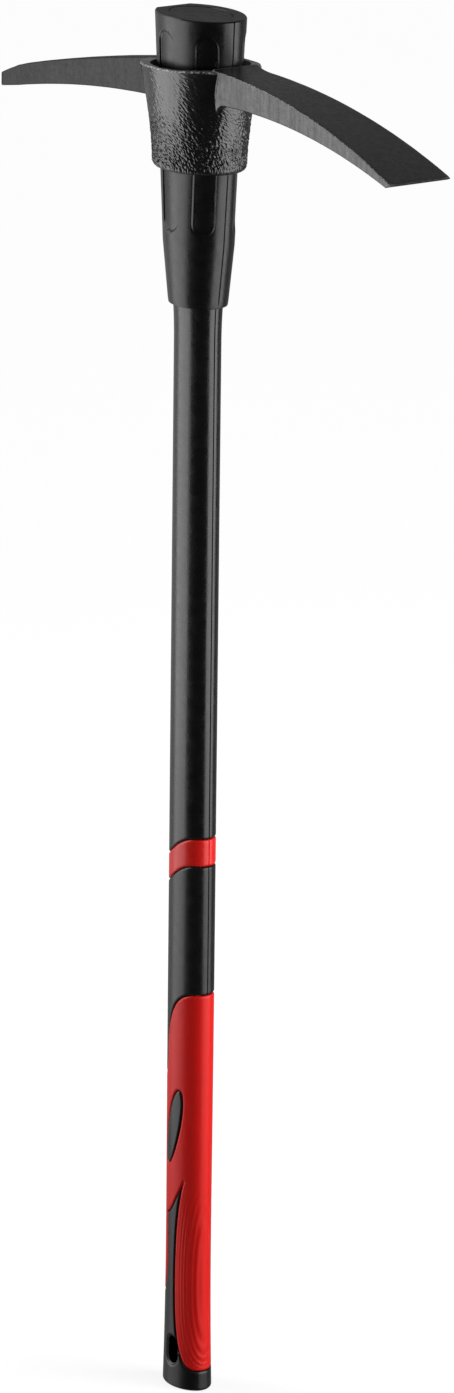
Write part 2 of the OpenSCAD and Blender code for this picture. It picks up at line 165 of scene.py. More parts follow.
class GripSizes(PropertyGroup):
    """Sizes of the band, the soft grip and the butt."""

    waist_w: length("Grip waist", "Width of the grip where it is slimmest", 36.3)
    butt_w: length("Butt width", "Width of the butt", 39.4)
    butt_t: length("Butt thickness", "Thickness of the butt along Y", 27)
    tongue_x: length("Tongue place", "Middle of the red tongues from the axis", 19.4)
    flare_h: length("Flare height", "Height of the butt's flare", 98)
    taper_h: length("Taper height", "Height over which the grip swells to the shaft", 165)
    butt_round: length("Butt rounding", "Rounding round the butt face", 2.2)
    skin_t: length("Skin", "Thickness of the soft skin", 1.8)
    black_t: length("Black grip", "Thickness of the bare black grip", 3)
    band_t: length("Band", "Thickness of the red band", 2.5)
    band_z: length("Band level", "Upper edge of the red band on the adze side", 372.3)
    band_h: length("Band height", "Height of the red band", 18)
    band_drop: length("Band drop", "Drop of the band towards the pick side", 16.5)
    wave_from: length("Wave start", "Where the band starts to drop, from the axis", 14.9)
    wave_run: length("Wave run", "Width over which the band drops", 36.3)
    skin_z: length("Skin level", "Upper edge of the red skin on the adze side", 268.5)
    cap_x: length("Skin cap", "End of the skin's level edge, from the axis", 15.7)
    cap_w: length("Cap width", "Width of the convex part of the skin's edge", 24.9)
    cap_h: length("Cap height", "Height of the convex part of the skin's edge", 41)
    heel_w: length("Heel width", "Width of the hollow part of the skin's edge", 8.9)
    heel_h: length("Heel height", "Height of the hollow part of the skin's edge", 20)
    leaf_x: length("Leaf place", "Middle of the leaf from the axis", -1.1)
    leaf_z: length("Leaf level", "Height of the leaf's middle", 177)
    leaf_l: length("Leaf length", "Length of the black leaf", 53)
    leaf_w: length("Leaf width", "Width of the black leaf", 13.2)
    leaf_tilt: angle("Leaf tilt", "Tilt of the leaf towards the adze", 13.7)
    tail_x: length("Tail point", "Point of the black tail from the axis", 8.75)
    tail_z: length("Tail level", "Height of the tail's point", 141)
    notch_x: length("Notch place", "Shoulder of the tail from the axis", -5.85)
    notch_z: length("Notch level", "Height of the tail's shoulder", 118.5)
    front_edge: length("Front edge", "Edge of the front tongue from the axis, at its widest", 1.9)
    rear_edge: length("Rear edge", "Edge of the rear tongue from the axis, at its widest", 6.7)
    tail_curve: share("Tail curve", "Power of the curve along the tail's upper edge", 1.4)
    tongue_power: share("Tongue power", "How square the tongues' lower ends are, 2 for an ellipse", 2.5)
    front_belly: length("Front belly", "Height where the front tongue is widest", 78)
    front_rise: length("Front rise", "Height of the front tongue above its belly", 79.5)
    front_foot: length("Front foot", "Lower end of the front tongue", 13.6)
    rear_belly: length("Rear belly", "Height where the rear tongue is widest", 93)
    rear_rise: length("Rear rise", "Height of the rear tongue above its belly", 64)
    rear_foot: length("Rear foot", "Lower end of the rear tongue", 60)
    hole_z: length("Hole level", "Middle of the hang hole", 25)
    hole_w: length("Hole width", "Width of the hang hole", 10.4)
    hole_h: length("Hole height", "Height of the hang hole", 18.4)
    hole_lip: length("Hole lip", "Chamfer round the mouths of the hang hole", 0.8)
    edge_round: length("Edge rounding", "Width of the rolled edge along each seam", 1.1)
    edge_drop: length("Edge drop", "Depth of the rolled edge along each seam", 0.7)
    rib: length("Rib", "Height of the fine ribs on the front tongue", 0.24)
    rib_pitch: length("Rib pitch", "Distance between the fine ribs", 2.1)
    rib_fade: length("Rib fade", "Height over which the ribs fade out below the tail's point", 30)


class HeadSizes(PropertyGroup):
    """Sizes of the forged head."""

    crown_drop: length("Crown drop", "Distance of the crown below the top of the handle", 31)
    crown_x: length("Crown place", "Distance from the axis at which the crown is level", 20.8)
    crown_swell: length("Crown swell", "Rise of the crown where the adze leaves it", 1.9)
    swell_from: length("Swell start", "Where the crown starts to rise, from the axis", 8)
    swell_run: length("Swell run", "Width over which the crown rises", 32)
    collar_h: length("Collar height", "Height of the eye collar", 65.5)
    collar_w: length("Collar width", "Width of the collar at its rim", 95)
    collar_t: length("Collar thickness", "Thickness of the collar at its rim", 64.3)
    collar_foot_w: length("Collar foot", "Width of the collar above its foot", 74.4)
    collar_round: length("Foot rounding", "Rounding of the collar's foot", 4)
    collar_bevel: length("Rim bevel", "Bevel round the collar's rim", 1)
    collar_curve: share("Collar curve", "Power of the collar's flare", 1.6)
    rim_w: length("Rim width", "Width of the flat rim round the eye's mouth", 2.4)
    mouth_gap: length("Mouth gap", "Gap of the eye's mouth towards the blades", 1.6)
    mouth_h: length("Mouth depth", "Depth of the dished mouth of the eye", 6)
    eye_gap: length("Eye gap", "Clearance between the eye and the sleeve", 0.4)
    adze_reach: length("Adze reach", "Cutting edge from the axis", 229)
    adze_drop: length("Adze drop", "Drop of the cutting edge below the top of the blade", 35.9)
    blade_x: length("Blade place", "Distance from the axis at which the blade is level", 35)
    blade_rise: length("Blade rise", "Height of the blade above the crown there", 1.5)
    adze_edge_w: length("Adze edge", "Width of the cutting edge", 45)
    adze_root_w: length("Adze root", "Width of the blade at the collar", 28)
    adze_edge_t: length("Edge thickness", "Thickness left at the cutting edge", 1.2)
    bevel_l: length("Edge bevel", "Length of the bevel under the cutting edge", 5.5)
    bevel_t: length("Bevel thickness", "Thickness of the blade where the bevel starts", 4.7)
    hollow_drop: length("Hollow drop", "Top of the hollow underside below the crown", 17.9)
    hollow_x: length("Hollow place", "Top of the hollow underside from the axis", 76)
    pick_reach: length("Pick reach", "Point of the pick from the axis", 216)
    pick_root_t: length("Pick root", "Thickness of the pick at the collar", 14)
    pick_tip_t: length("Pick tip", "Thickness of the pick at its point", 10)
    pick_root_h: length("Pick root depth", "Depth of the pick at the collar", 23.6)
    pick_neck_h: length("Pick neck depth", "Depth of the pick where its point starts", 13.8)
    pick_tip_h: length("Pick point depth", "Depth of the blunt point", 8.8)
    pick_tip_l: length("Pick point", "Length of the bevelled point", 20)
    pick_neck_drop: length("Pick neck drop", "Underside of the neck below the crown", 46.3)
    pick_tip_drop: length("Pick point drop", "Further drop of the underside to the point", 3.5)
    pick_top_bow: length("Pick upper bow", "Bow of the pick's upper edge", 1.5)
    pick_under_bow: length("Pick lower bow", "Bow of the pick's lower edge", 2.9)
    pick_round: length("Pick rounding", "Rounding of the corner where the pick's point starts", 0.6)
    edge_radius: length("Edge radius", "Rounding of the blades' long edges", 0.85)
    fillet: length("Fillet", "Run of the blades' flare into the collar", 20)
    fillet_h: length("Fillet height", "Spread of the blades' flare at the collar", 3.4)
    foot_ease: share("Foot ease", "How much rounder the oval is at the collar's foot", 0.075)
    root_gap: length("Root gap", "Distance of the blades' hidden ends outside the sleeve's top", 1.2)
    root_drop: length("Root drop", "Distance of the blades' hidden ends below the eye's mouth", 1)
    mouth_ease: length("Mouth ease", "Width round the eye's mouth that the blades keep clear of", 0.3)
    adze_stand: length("Adze stand", "Height of the adze above the rim that it crosses", 0.3)
    adze_break: length("Edge break", "Break of the corners round the cutting edge's face", 0.3)
    pick_break: length("Point break", "Break of the corners round the pick's blunt end", 0.5)
    round_run: length("Rounding run", "Length over which the pick's corner is rounded", 9)
    pit_w: length("Pit width", "Width of a cast dimple", 1.15)
    pit_h: length("Pit height", "Height of a cast dimple", 1.9)
    pit_patch: length("Pit patch", "Size of the patches in which the dimples are deeper", 8)
    pebble: length("Pebble", "Depth of the cast dimples on the collar", 0.56)
    toe: length("Toe", "Drop of the adze's lower edge where it meets the collar", 4)
    toe_run: length("Toe run", "Width over which that drop fades out", 7)
    bead: length("Bead", "Radius of the scale line where the blades meet the collar", 0.55)
    bead_lump: length("Bead lump", "Size of the lumps along the scale line", 1.6)
    adze_bead_y: length("Adze bead", "Upper end of the adze's scale lines from the middle", 15.6)
    adze_bead_low: length("Adze bead foot", "Lower end of those scale lines below the crown", 17)
    adze_bead_high: length("Adze bead top", "Upper end of those scale lines below the crown", 2)
    adze_bead_lean: share("Adze bead lean", "Lean of those scale lines towards the middle", 0.07)
    hammer: length("Hammer marks", "Unevenness of the forged blades", 0.05)
    hammer_patch: length("Hammer patch", "Size of the forged blades' uneven patches", 11)


class MattockColours(PropertyGroup):
    """Linear colours of the finishes."""

    head: tint("Head paint", "Satin charcoal paint of the head", (0.006, 0.006, 0.0063))
    # Pale paint on the head's sharp forms, edges and scale beads: partly paint worn thin to the steel, partly
    # painted highlights and glints
    wear_and_highlight: tint("Edge wear", "Paint rubbed thin along the edges", (0.5, 0.5, 0.51))
    plastic: tint("Black plastic", "Moulded sleeve and shaft", (0.004, 0.004, 0.0042))
    black: tint("Black rubber", "Soft black grip", (0.0045, 0.0046, 0.005))
    red: tint("Red rubber", "Soft red grip", (0.70, 0.009, 0.006))
    fibre: tint("Fibreglass", "Core rod", (0.60, 0.53, 0.32))
    floor: tint("Floor", "Pale studio floor", (0.25, 0.25, 0.25))


class StudioSizes(PropertyGroup):
    """The camera, the lamps and the floor."""

    camera_away: metres("Camera distance", "From the handle's axis, level", 4.5179)
    camera_up: metres("Camera height", "Above the floor", 1.7372)
    camera_turn: angle("Camera turn", "From looking along +Y, towards the adze", 55)
    camera_pitch: angle("Camera pitch", "Below level", 15.76)
    camera_roll: angle("Camera roll", "Lean of the picture", 0.587)
    lens: FloatProperty(name="Lens", description="Focal length in millimetres", default=191.9)
    shift: share("Camera shift", "Sideways shift of the frame", 0.0237)
    soft_turn: angle("Soft box turn", "From the camera's side, positive to the right", -96)
    soft_away: metres("Soft box distance", "From the handle's axis", 0.95)
    soft_w: metres("Soft box width", "Width of the soft box on the left", 0.85)
    soft_power: strength("Soft box power", "Watts per square metre of the soft box", 5.3)
    wide_turn: angle("Wide light turn", "From the camera's side, positive to the right", -118)
    wide_away: metres("Wide light distance", "From the handle's axis", 1)
    wide_w: metres("Wide light width", "Width of the dim wide light on the left", 2)
    wide_power: strength("Wide light power", "Watts per square metre of the wide light", 0.7)
    strip_turn: angle("Strip turn", "From the camera's side, positive to the right", 62)
    strip_away: metres("Strip distance", "From the handle's axis", 0.95)
    strip_w: metres("Strip width", "Width of the strip on the right", 1.37)
    strip_power: strength("Strip power", "Watts per square metre of the strip", 7.2)
    right_turn: angle("Right fill turn", "From the camera's side, positive to the right", 75)
    right_w: metres("Right fill width", "Width of the right fill light", 0.48)
    left_turn: angle("Left fill turn", "From the camera's side, positive to the right", -108)
    left_w: metres("Left fill width", "Width of the left fill light", 0.34)
    fill_away: metres("Fill distance", "Distance of both fill lights from the handle's axis", 0.9)
    fill_power: strength("Fill power", "Watts per square metre of both fill lights", 11)
    ambient: share("Ambient", "Strength of the even light all round", 0.022)
    backdrop: share("Backdrop", "Strength of the backdrop in reflections", 0.2)
    gloom: share("Gloom", "Strength of the dim front of the studio in reflections", 0.03)
    backdrop_turn: angle("Backdrop turn", "Turn of the backdrop's middle towards the left", 25)
    floor_w: metres("Floor", "Width of the floor", 24)
    floor_gap: length("Floor gap", "Gap between the butt and the floor", 0.2)


def smooth_step(t):
    """Eases a share from 0 to 1."""
    return t**2 * (3 - 2 * t)


def full_turn(count):
    """Even angles round a full turn."""
    return np.arange(count) / count * 2 * math.pi


def shaft_half_width(handle, grip, z):
    """Half width of the handle below the eye sleeve."""
    low = handle.handle_l - handle.sleeve_h
    flare = np.maximum(1 - z / grip.flare_h, 0) ** 2
    swell = np.clip((z - grip.flare_h) / grip.taper_h, 0, 1)
    shoulder = np.clip((z - low) / handle.shoulder_h + 1, 0, 1) ** 2
    return (
        grip.waist_w / 2
        + (grip.butt_w - grip.waist_w) / 2 * flare
        + (handle.shaft_w - grip.waist_w) / 2 * smooth_step(swell)
        + handle.shoulder * shoulder
    )


def shaft_half_depth(handle, grip, z):
    """Half thickness of the handle, whose butt flares less along Y than along X."""
    flare = np.maximum(1 - z / grip.flare_h, 0) ** 2
    squash = handle.shaft_t / handle.shaft_w
    plain = shaft_half_width(handle, grip, z) - (grip.butt_w - grip.waist_w) / 2 * flare
    return squash * plain + (grip.butt_t - squash * grip.waist_w) / 2 * flare


def sleeve_half_width(handle, z):
    """Half width of the eye sleeve above its foot."""
    waist = handle.handle_l - handle.sleeve_h + handle.foot_h
    rise = (z - waist) / (handle.handle_l - waist)
    return handle.waist_w / 2 + (handle.sleeve_w - handle.waist_w) / 2 * rise


def collar_half_width(handle, head, z):
    """Half width of the eye collar."""
    crown = handle.handle_l - head.crown_drop
    low = crown - head.collar_h + head.collar_round
    rise = np.maximum((z - low) / (crown - low), 0)
    return head.collar_foot_w / 2 + (head.collar_w - head.collar_foot_w) / 2 * rise**head.collar_curve


def collar_oval(handle, head, half, z):
    """Half axes of the collar's oval, which is rounder towards its foot."""
    ease = head.foot_ease * (handle.handle_l - head.crown_drop - z) / head.collar_h
    return half * (1 - ease), half * (1 + ease) * head.collar_t / head.collar_w


def arc_drop(x, level_x, run, drop):
    """Drop below its level point of an arc that falls by drop over run."""
    radius = (run * run + drop * drop) / (2 * drop)
    return radius - np.sqrt(radius**2 - (x - level_x) ** 2)


def crown_height(handle, head, x):
    """Height of the arc that the collar's rim follows."""
    run = head.adze_reach - head.crown_x
    on = np.clip((x - head.swell_from) / head.swell_run, 0, 1)
    swell = head.crown_swell * smooth_step(on)
    return handle.handle_l - head.crown_drop - arc_drop(x, head.crown_x, run, head.adze_drop) + swell


def blade_height(handle, head, x):
    """Height of the adze's upper face."""
    top = handle.handle_l - head.crown_drop + head.blade_rise
    return top - arc_drop(x, head.blade_x, head.adze_reach - head.blade_x, head.adze_drop)


def ellipse_field(dx, dz, ax, az, power=2.0):
    """About the distance inside an ellipse, squarer for a higher power, negative outside it."""
    u, v = np.maximum(np.abs(dx) / ax, TINY), np.maximum(np.abs(dz) / az, TINY)
    q = (u**power + v**power) ** (1 / power)
    slope = np.hypot((u / q) ** (power - 1) / ax, (v / q) ** (power - 1) / az)
    return (1 - q) / np.maximum(slope, TINY)


def wave_height(grip, x):
    """Height of the red band's upper edge."""
    turn = np.clip((grip.wave_from - x) / grip.wave_run, 0, 1) * math.pi
    return grip.band_z - grip.band_drop * (1 - np.cos(turn)) / 2


def skin_field(grip, x, z):
    """Distance below the red skin's upper edge."""
    level = grip.skin_z - grip.cap_h
    bend = grip.cap_x - grip.cap_w
    cap = ellipse_field(np.minimum(x, grip.cap_x) - grip.cap_x, z - level, grip.cap_w, grip.cap_h)
    heel = -ellipse_field(x - (bend - grip.heel_w), z - level, grip.heel_w, grip.heel_h)
    return np.where(z >= level, cap, heel)


def tongue_field(grip, x, z, front):
    """Distance inside one of the two red tongues."""
    edge = grip.tongue_x
    if front:
        place, half = edge, edge - grip.front_edge
        belly, rise, foot = grip.front_belly, grip.front_rise, grip.front_foot
    else:
        place, half = -edge, edge - grip.rear_edge
        belly, rise, foot = grip.rear_belly, grip.rear_rise, grip.rear_foot
    upper = ellipse_field(x - place, z - belly, half, rise)
    lower = ellipse_field(x - place, z - belly, half, belly - foot, grip.tongue_power)
    return np.where(z > belly, upper, lower)


def tail_field(grip, x, z):
    """Distance inside the black butt and its tails."""
    run, rise = grip.tail_x - grip.notch_x, grip.tail_z - grip.notch_z
    on = np.minimum((x - grip.notch_x) / run, 1)
    edge = grip.notch_z + rise * np.sign(on) * np.abs(on) ** grip.tail_curve
    under = (edge - z) * run / math.hypot(run, rise)
    tongues = np.maximum(tongue_field(grip, x, z, True), tongue_field(grip, x, z, False))
    return np.minimum(under, -tongues)


def leaf_field(grip, x, z):
    """Distance inside the black leaf."""
    c, s = math.cos(grip.leaf_tilt), math.sin(grip.leaf_tilt)
    dx, dz = x - grip.leaf_x, z - grip.leaf_z
    return ellipse_field(c * dx - s * dz, s * dx + c * dz, grip.leaf_w / 2, grip.leaf_l / 2)


def hole_field(grip, x, z):
    """Distance inside the hang hole."""
    straight = (grip.hole_h - grip.hole_w) / 2
    dz = np.maximum(np.abs(z - grip.hole_z) - straight, 0)
    return grip.hole_w / 2 - np.hypot(x, dz)


def link_piece(name, vertices, faces, materials, body, slot, nodes, crease=40.0):
    """Makes a closed, smooth piece that rides on a body and stands for CAD nodes."""
    mesh = bpy.data.meshes.new(name)
    mesh.from_pydata([tuple(v) for v in vertices], [], [tuple(f) for f in faces])
    shape = bmesh.new()
    shape.from_mesh(mesh)
    bmesh.ops.remove_doubles(shape, verts=shape.verts, dist=WELD)
    bmesh.ops.recalc_face_normals(shape, faces=shape.faces)
    shape.to_mesh(mesh)
    shape.free()
    mesh.shade_smooth()
    mesh.set_sharp_from_angle(angle=math.radians(crease))
    for material in materials:
        mesh.materials.append(material)
    piece = bpy.data.objects.new(name, mesh)
    bpy.context.scene.collection.objects.link(piece)
    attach(piece, body)
    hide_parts(*nodes)
    return piece


def ring_faces(rings, count, start=0, closed=False):
    """Quads between rings of points, each of the same count."""
    faces = []
    for i in range(rings if closed else rings - 1):
        low, high = start + i * count, start + (i + 1) % rings * count
        for j in range(count):
            k = (j + 1) % count
            faces.append((low + j, low + k, high + k, high + j))
    return faces


def cut_cells(field):
    """Cuts a grid that closes round its columns along the zero line of a field.

    Returns the points as rows of (row, column, field) and the faces that lie inside."""
    rows, columns = field.shape
    points, faces, known = [], [], {}

    def corner(i, j):
        key = (i, j % columns)
        if key not in known:
            known[key] = len(points)
            points.append((i, j % columns, field[key]))
        return known[key]

    def crossing(a, b):
        fa, fb = field[a[0], a[1] % columns], field[b[0], b[1] % columns]
        first, last = min(a, b), max(a, b)
        key = (first[0], first[1] % columns, last[0] - first[0], last[1] - first[1])
        if key not in known:
            t = fa / (fa - fb)
            known[key] = len(points)
            points.append((a[0] + t * (b[0] - a[0]), a[1] + t * (b[1] - a[1]), 0.0))
        return known[key]

    inside = field > 0
    after = np.roll(inside, -1, axis=1)
    corners = inside[:-1].astype(int) + after[:-1] + inside[1:] + after[1:]
    for i, j in np.argwhere(corners > 0):
        i, j = int(i), int(j)
        ring = [(i, j), (i, j + 1), (i + 1, j + 1), (i + 1, j)]
        if corners[i, j] == len(ring):
            faces.append([corner(*c) for c in ring])
            continue
        face = []
        for a, b in zip(ring, ring[1:] + ring[:1]):
            here, there = inside[a[0], a[1] % columns], inside[b[0], b[1] % columns]
            if here:
                face.append(corner(*a))
            if here != there:
                face.append(crossing(a, b))
        if len(face) > 2:
            faces.append(face)
    return np.array(points), faces


class Skin:
    """A grid round the handle that moulded pieces are cut from."""

    # How far the columns crowd together on the handle's two narrow sides
    crowding = 0.6

    def __init__(self, grip, radius, depth, height, columns):
        self.radius, self.depth, self.height = radius, depth, height
        turn = np.append(full_turn(columns), 2 * math.pi)
        self.theta = turn - self.crowding * np.sin(2 * turn) / 2
        along = np.hypot(np.gradient(self.radius), np.gradient(self.height))
        self.out_r = np.gradient(self.height) / along
        self.out_z = -np.gradient(self.radius) / along
        self.x = np.outer(self.radius, np.cos(self.theta[:-1]))
        self.z = np.repeat(self.height[:, None], columns, axis=1)
        self.side = np.tile(np.sin(self.theta[:-1]), (len(self.radius), 1))
        self.edge_round, self.edge_drop = grip.edge_round, grip.edge_drop

    def place(self, points, lift):
        """Points of the grid in space, lifted off the surface."""
        index = np.arange(len(self.radius))
        out = lift * np.interp(points[:, 0], index, self.out_r)
        a = np.interp(points[:, 0], index, self.radius) + out
        b = np.interp(points[:, 0], index, self.depth) + out
        z = np.interp(points[:, 0], index, self.height) + lift * np.interp(points[:, 0], index, self.out_z)
        theta = np.interp(points[:, 1], np.arange(len(self.theta)), self.theta)
        return np.column_stack((a * np.cos(theta), b * np.sin(theta), z))

    def rolled(self, field):
        """How far a piece rolls down towards its edge."""
        return -self.edge_drop * np.clip(1 - field / self.edge_round, 0, 1) ** 2

    def piece(self, field, thickness, relief=None):
        """Vertices and faces of a closed shell where the field is positive."""
        points, faces = cut_cells(field)
        lift = self.rolled(points[:, 2])
        if relief is not None:
            base = self.place(points, 0)
            lift = lift + relief(base[:, 0], base[:, 1], base[:, 2])
        count = len(points)
        vertices = np.vstack((self.place(points, lift), self.place(points, np.full(count, -thickness))))
        edges = {}
        for face in faces:
            for a, b in zip(face, face[1:] + face[:1]):
                edges[(a, b)] = (b, a) not in edges
                if (b, a) in edges:
                    edges[(b, a)] = False
        walls = [(b, a, a + count, b + count) for (a, b), lone in edges.items() if lone]
        inner = [[v + count for v in reversed(face)] for face in faces]
        return vertices, faces + inner + walls


def parting_relief(handle):
    """Relief of the fine parting groove along the handle's two narrow sides."""

    def relief(x, y, z):
        return -handle.parting * np.exp(-((y / handle.parting_w) ** 2)) * (np.abs(x) > handle.shaft_w / 4)

    return relief


def rows_between(low, high, step):
    """Even levels between two heights, about a step apart."""
    return np.linspace(low, high, max(int(round((high - low) / step)), 1) + 1)


def new_material(name, colour, roughness, specular):
    """A plain surface of one colour, with its nodes and its shader."""
    material = bpy.data.materials.new(name)
    material.use_nodes = True
    shader = material.node_tree.nodes["Principled BSDF"]
    shader.inputs["Base Color"].default_value = (*colour, 1)
    shader.inputs["Roughness"].default_value = roughness
    shader.inputs["Specular IOR Level"].default_value = specular
    return material, material.node_tree, shader


def add_noise(tree, scale, detail, stretch=(1, 1, 1)):
    """Noise in the piece's own coordinates, stretched along its axes."""
    place = tree.nodes.new("ShaderNodeTexCoord")
    mapping = tree.nodes.new("ShaderNodeMapping")
    mapping.inputs["Scale"].default_value = stretch
    texture = tree.nodes.new("ShaderNodeTexNoise")
    texture.inputs["Scale"].default_value = scale
    texture.inputs["Detail"].default_value = detail
    tree.links.new(place.outputs["Object"], mapping.inputs["Vector"])
    tree.links.new(mapping.outputs["Vector"], texture.inputs["Vector"])
    return texture.outputs["Fac"]


def add_range(tree, value, low, high, new_low, new_high):
    """Maps a value from one range to another."""
    span = tree.nodes.new("ShaderNodeMapRange")
    span.inputs["From Min"].default_value = low
    span.inputs["From Max"].default_value = high
    span.inputs["To Min"].default_value = new_low
    span.inputs["To Max"].default_value = new_high
    tree.links.new(value, span.inputs["Value"])
    return span.outputs["Result"]


def add_spread(tree, texture, low, high):
    """Spreads the middle of a noise over a range."""
    return add_range(tree, texture, *NOISE_MIDDLE, low, high)


def add_math(tree, operation, first, second):
    """Joins two values by a calculation."""
    node = tree.nodes.new("ShaderNodeMath")
    node.operation = operation
    tree.links.new(first, node.inputs[0])
    tree.links.new(second, node.inputs[1])
    return node.outputs[0]


def add_mix(tree, factor, first, second):
    """Mixes two colours by a factor. Each is a linear colour or a socket."""
    mix = tree.nodes.new("ShaderNodeMix")
    mix.data_type = "RGBA"
    # A mix lists its factor first and its two colours as inputs 6 and 7, with their mix as output 2
    for socket, colour in ((mix.inputs[6], first), (mix.inputs[7], second)):
        if isinstance(colour, bpy.types.NodeSocket):
            tree.links.new(colour, socket)
        else:
            socket.default_value = (*colour, 1)
    tree.links.new(factor, mix.inputs[0])
    return mix.outputs[2]


def add_bump(tree, shader, heights):
    """Chains bumps of (height, strength, distance) into the shader's normal."""
    normal = None
    for height, strength, distance in heights:
        bump = tree.nodes.new("ShaderNodeBump")
        bump.inputs["Strength"].default_value = strength
        bump.inputs["Distance"].default_value = distance
        tree.links.new(height, bump.inputs["Height"])
        if normal is not None:
            tree.links.new(normal, bump.inputs["Normal"])
        normal = bump.outputs["Normal"]
    tree.links.new(normal, shader.inputs["Normal"])


def add_gloss(tree, shader, scale, detail, low, high):
    """Lets the roughness vary between two values."""
    gloss = add_spread(tree, add_noise(tree, scale, detail), low, high)
    tree.links.new(gloss, shader.inputs["Roughness"])


def brighter(colour, factor):
    """A linear colour times a factor."""
    return tuple(min(c * factor, 1) for c in colour)


def moulded_material(name, colour, roughness, specular, grain, streaks, uneven=0.18):
    """Moulded plastic or rubber: mottled tone, uneven gloss, fine grain and faint draw lines."""
    material, tree, shader = new_material(name, colour, roughness, specular)
    mottle = add_spread(tree, add_noise(tree, scale=70, detail=5), 0, 1)
    tone = add_mix(tree, mottle, brighter(colour, 1 - uneven), brighter(colour, 1 + uneven))
    tree.links.new(tone, shader.inputs["Base Color"])
    add_gloss(tree, shader, scale=160, detail=4, low=roughness - 0.05, high=roughness + 0.06)
    lines = add_noise(tree, scale=900, detail=2, stretch=(1, 1, 0.02))
    fine = add_noise(tree, scale=2600, detail=2)
    add_bump(tree, shader, [(lines, streaks, GRAIN), (fine, grain, GRAIN)])
    return material


def end_plastic(name, colours):
    """The paler, duller plastic of the handle's top end."""
    colour = brighter(colours.plastic, END_TONE)
    return moulded_material(name, colour, roughness=0.42, specular=0.8, grain=0.3, streaks=0, uneven=0.5)


def paint_material(name, colours, roughness, specular, brushed):
    """Satin paint over forged steel: uneven gloss, brush strokes, and pale paint on sharp forms that is
    partly worn thin and partly painted glints.
    """
    material, tree, shader = new_material(name, colours.head, roughness, specular)
    shader.inputs["IOR"].default_value = PAINT_IOR
    mottle = add_spread(tree, add_noise(tree, scale=90, detail=6), 0, 1)
    tone = add_mix(tree, mottle, *(brighter(colours.head, tone) for tone in PAINT_TONES))
    form = tree.nodes.new("ShaderNodeNewGeometry")
    # Pointed forms, such as the dimples' ridges, turn pale: partly worn paint, partly painted glints
    sharp = add_range(tree, form.outputs["Pointiness"], *RUBBED_AND_GLINT_FORM, 0, 1)
    patchy = add_range(tree, add_noise(tree, scale=260, detail=4), *FORM_PATCHES, LEAST_RUBBED_AND_GLINT, 1)
    rubbed_and_glint = add_math(tree, "MULTIPLY", sharp, patchy)
    tree.links.new(add_mix(tree, rubbed_and_glint, tone, colours.wear_and_highlight), shader.inputs["Base Color"])
    add_gloss(tree, shader, scale=300, detail=5, low=roughness - 0.07, high=roughness + 0.08)
    bands = add_noise(tree, scale=330, detail=4, stretch=(1, 1, 0.08))
    sheen = add_spread(tree, bands, specular * (1 - BRUSHED_LOSS * brushed), specular)
    tree.links.new(sheen, shader.inputs["Specular IOR Level"])
    strokes = add_noise(tree, scale=700, detail=3, stretch=(1, 1, 0.04))
    grain = add_noise(tree, scale=1500, detail=4)
    add_bump(tree, shader, [(strokes, brushed, 1.5 * GRAIN), (grain, 0.35, 0.8 * GRAIN)])
    return material


def worn_highlight_material(name, colours):
    """Pale paint along an edge: partly paint worn thin so that the steel shows in patches, partly a painted
    highlight line.
    """
    material, tree, shader = new_material(name, colours.head, roughness=0.3, specular=1)
    patchy = add_range(tree, add_noise(tree, scale=420, detail=5), *EDGE_PATCHES, 0, 1)
    tree.links.new(add_mix(tree, patchy, colours.head, colours.wear_and_highlight), shader.inputs["Base Color"])
    add_gloss(tree, shader, scale=300, detail=5, low=0.24, high=0.4)
    add_bump(tree, shader, [(add_noise(tree, scale=1500, detail=4), 0.4, 0.8 * GRAIN)])
    return material


def settings(context):
    """The property groups that hold this object's sizes and colours."""
    scene = context.scene
    return scene.mattock_handle, scene.mattock_grip, scene.mattock_head, scene.mattock_colours


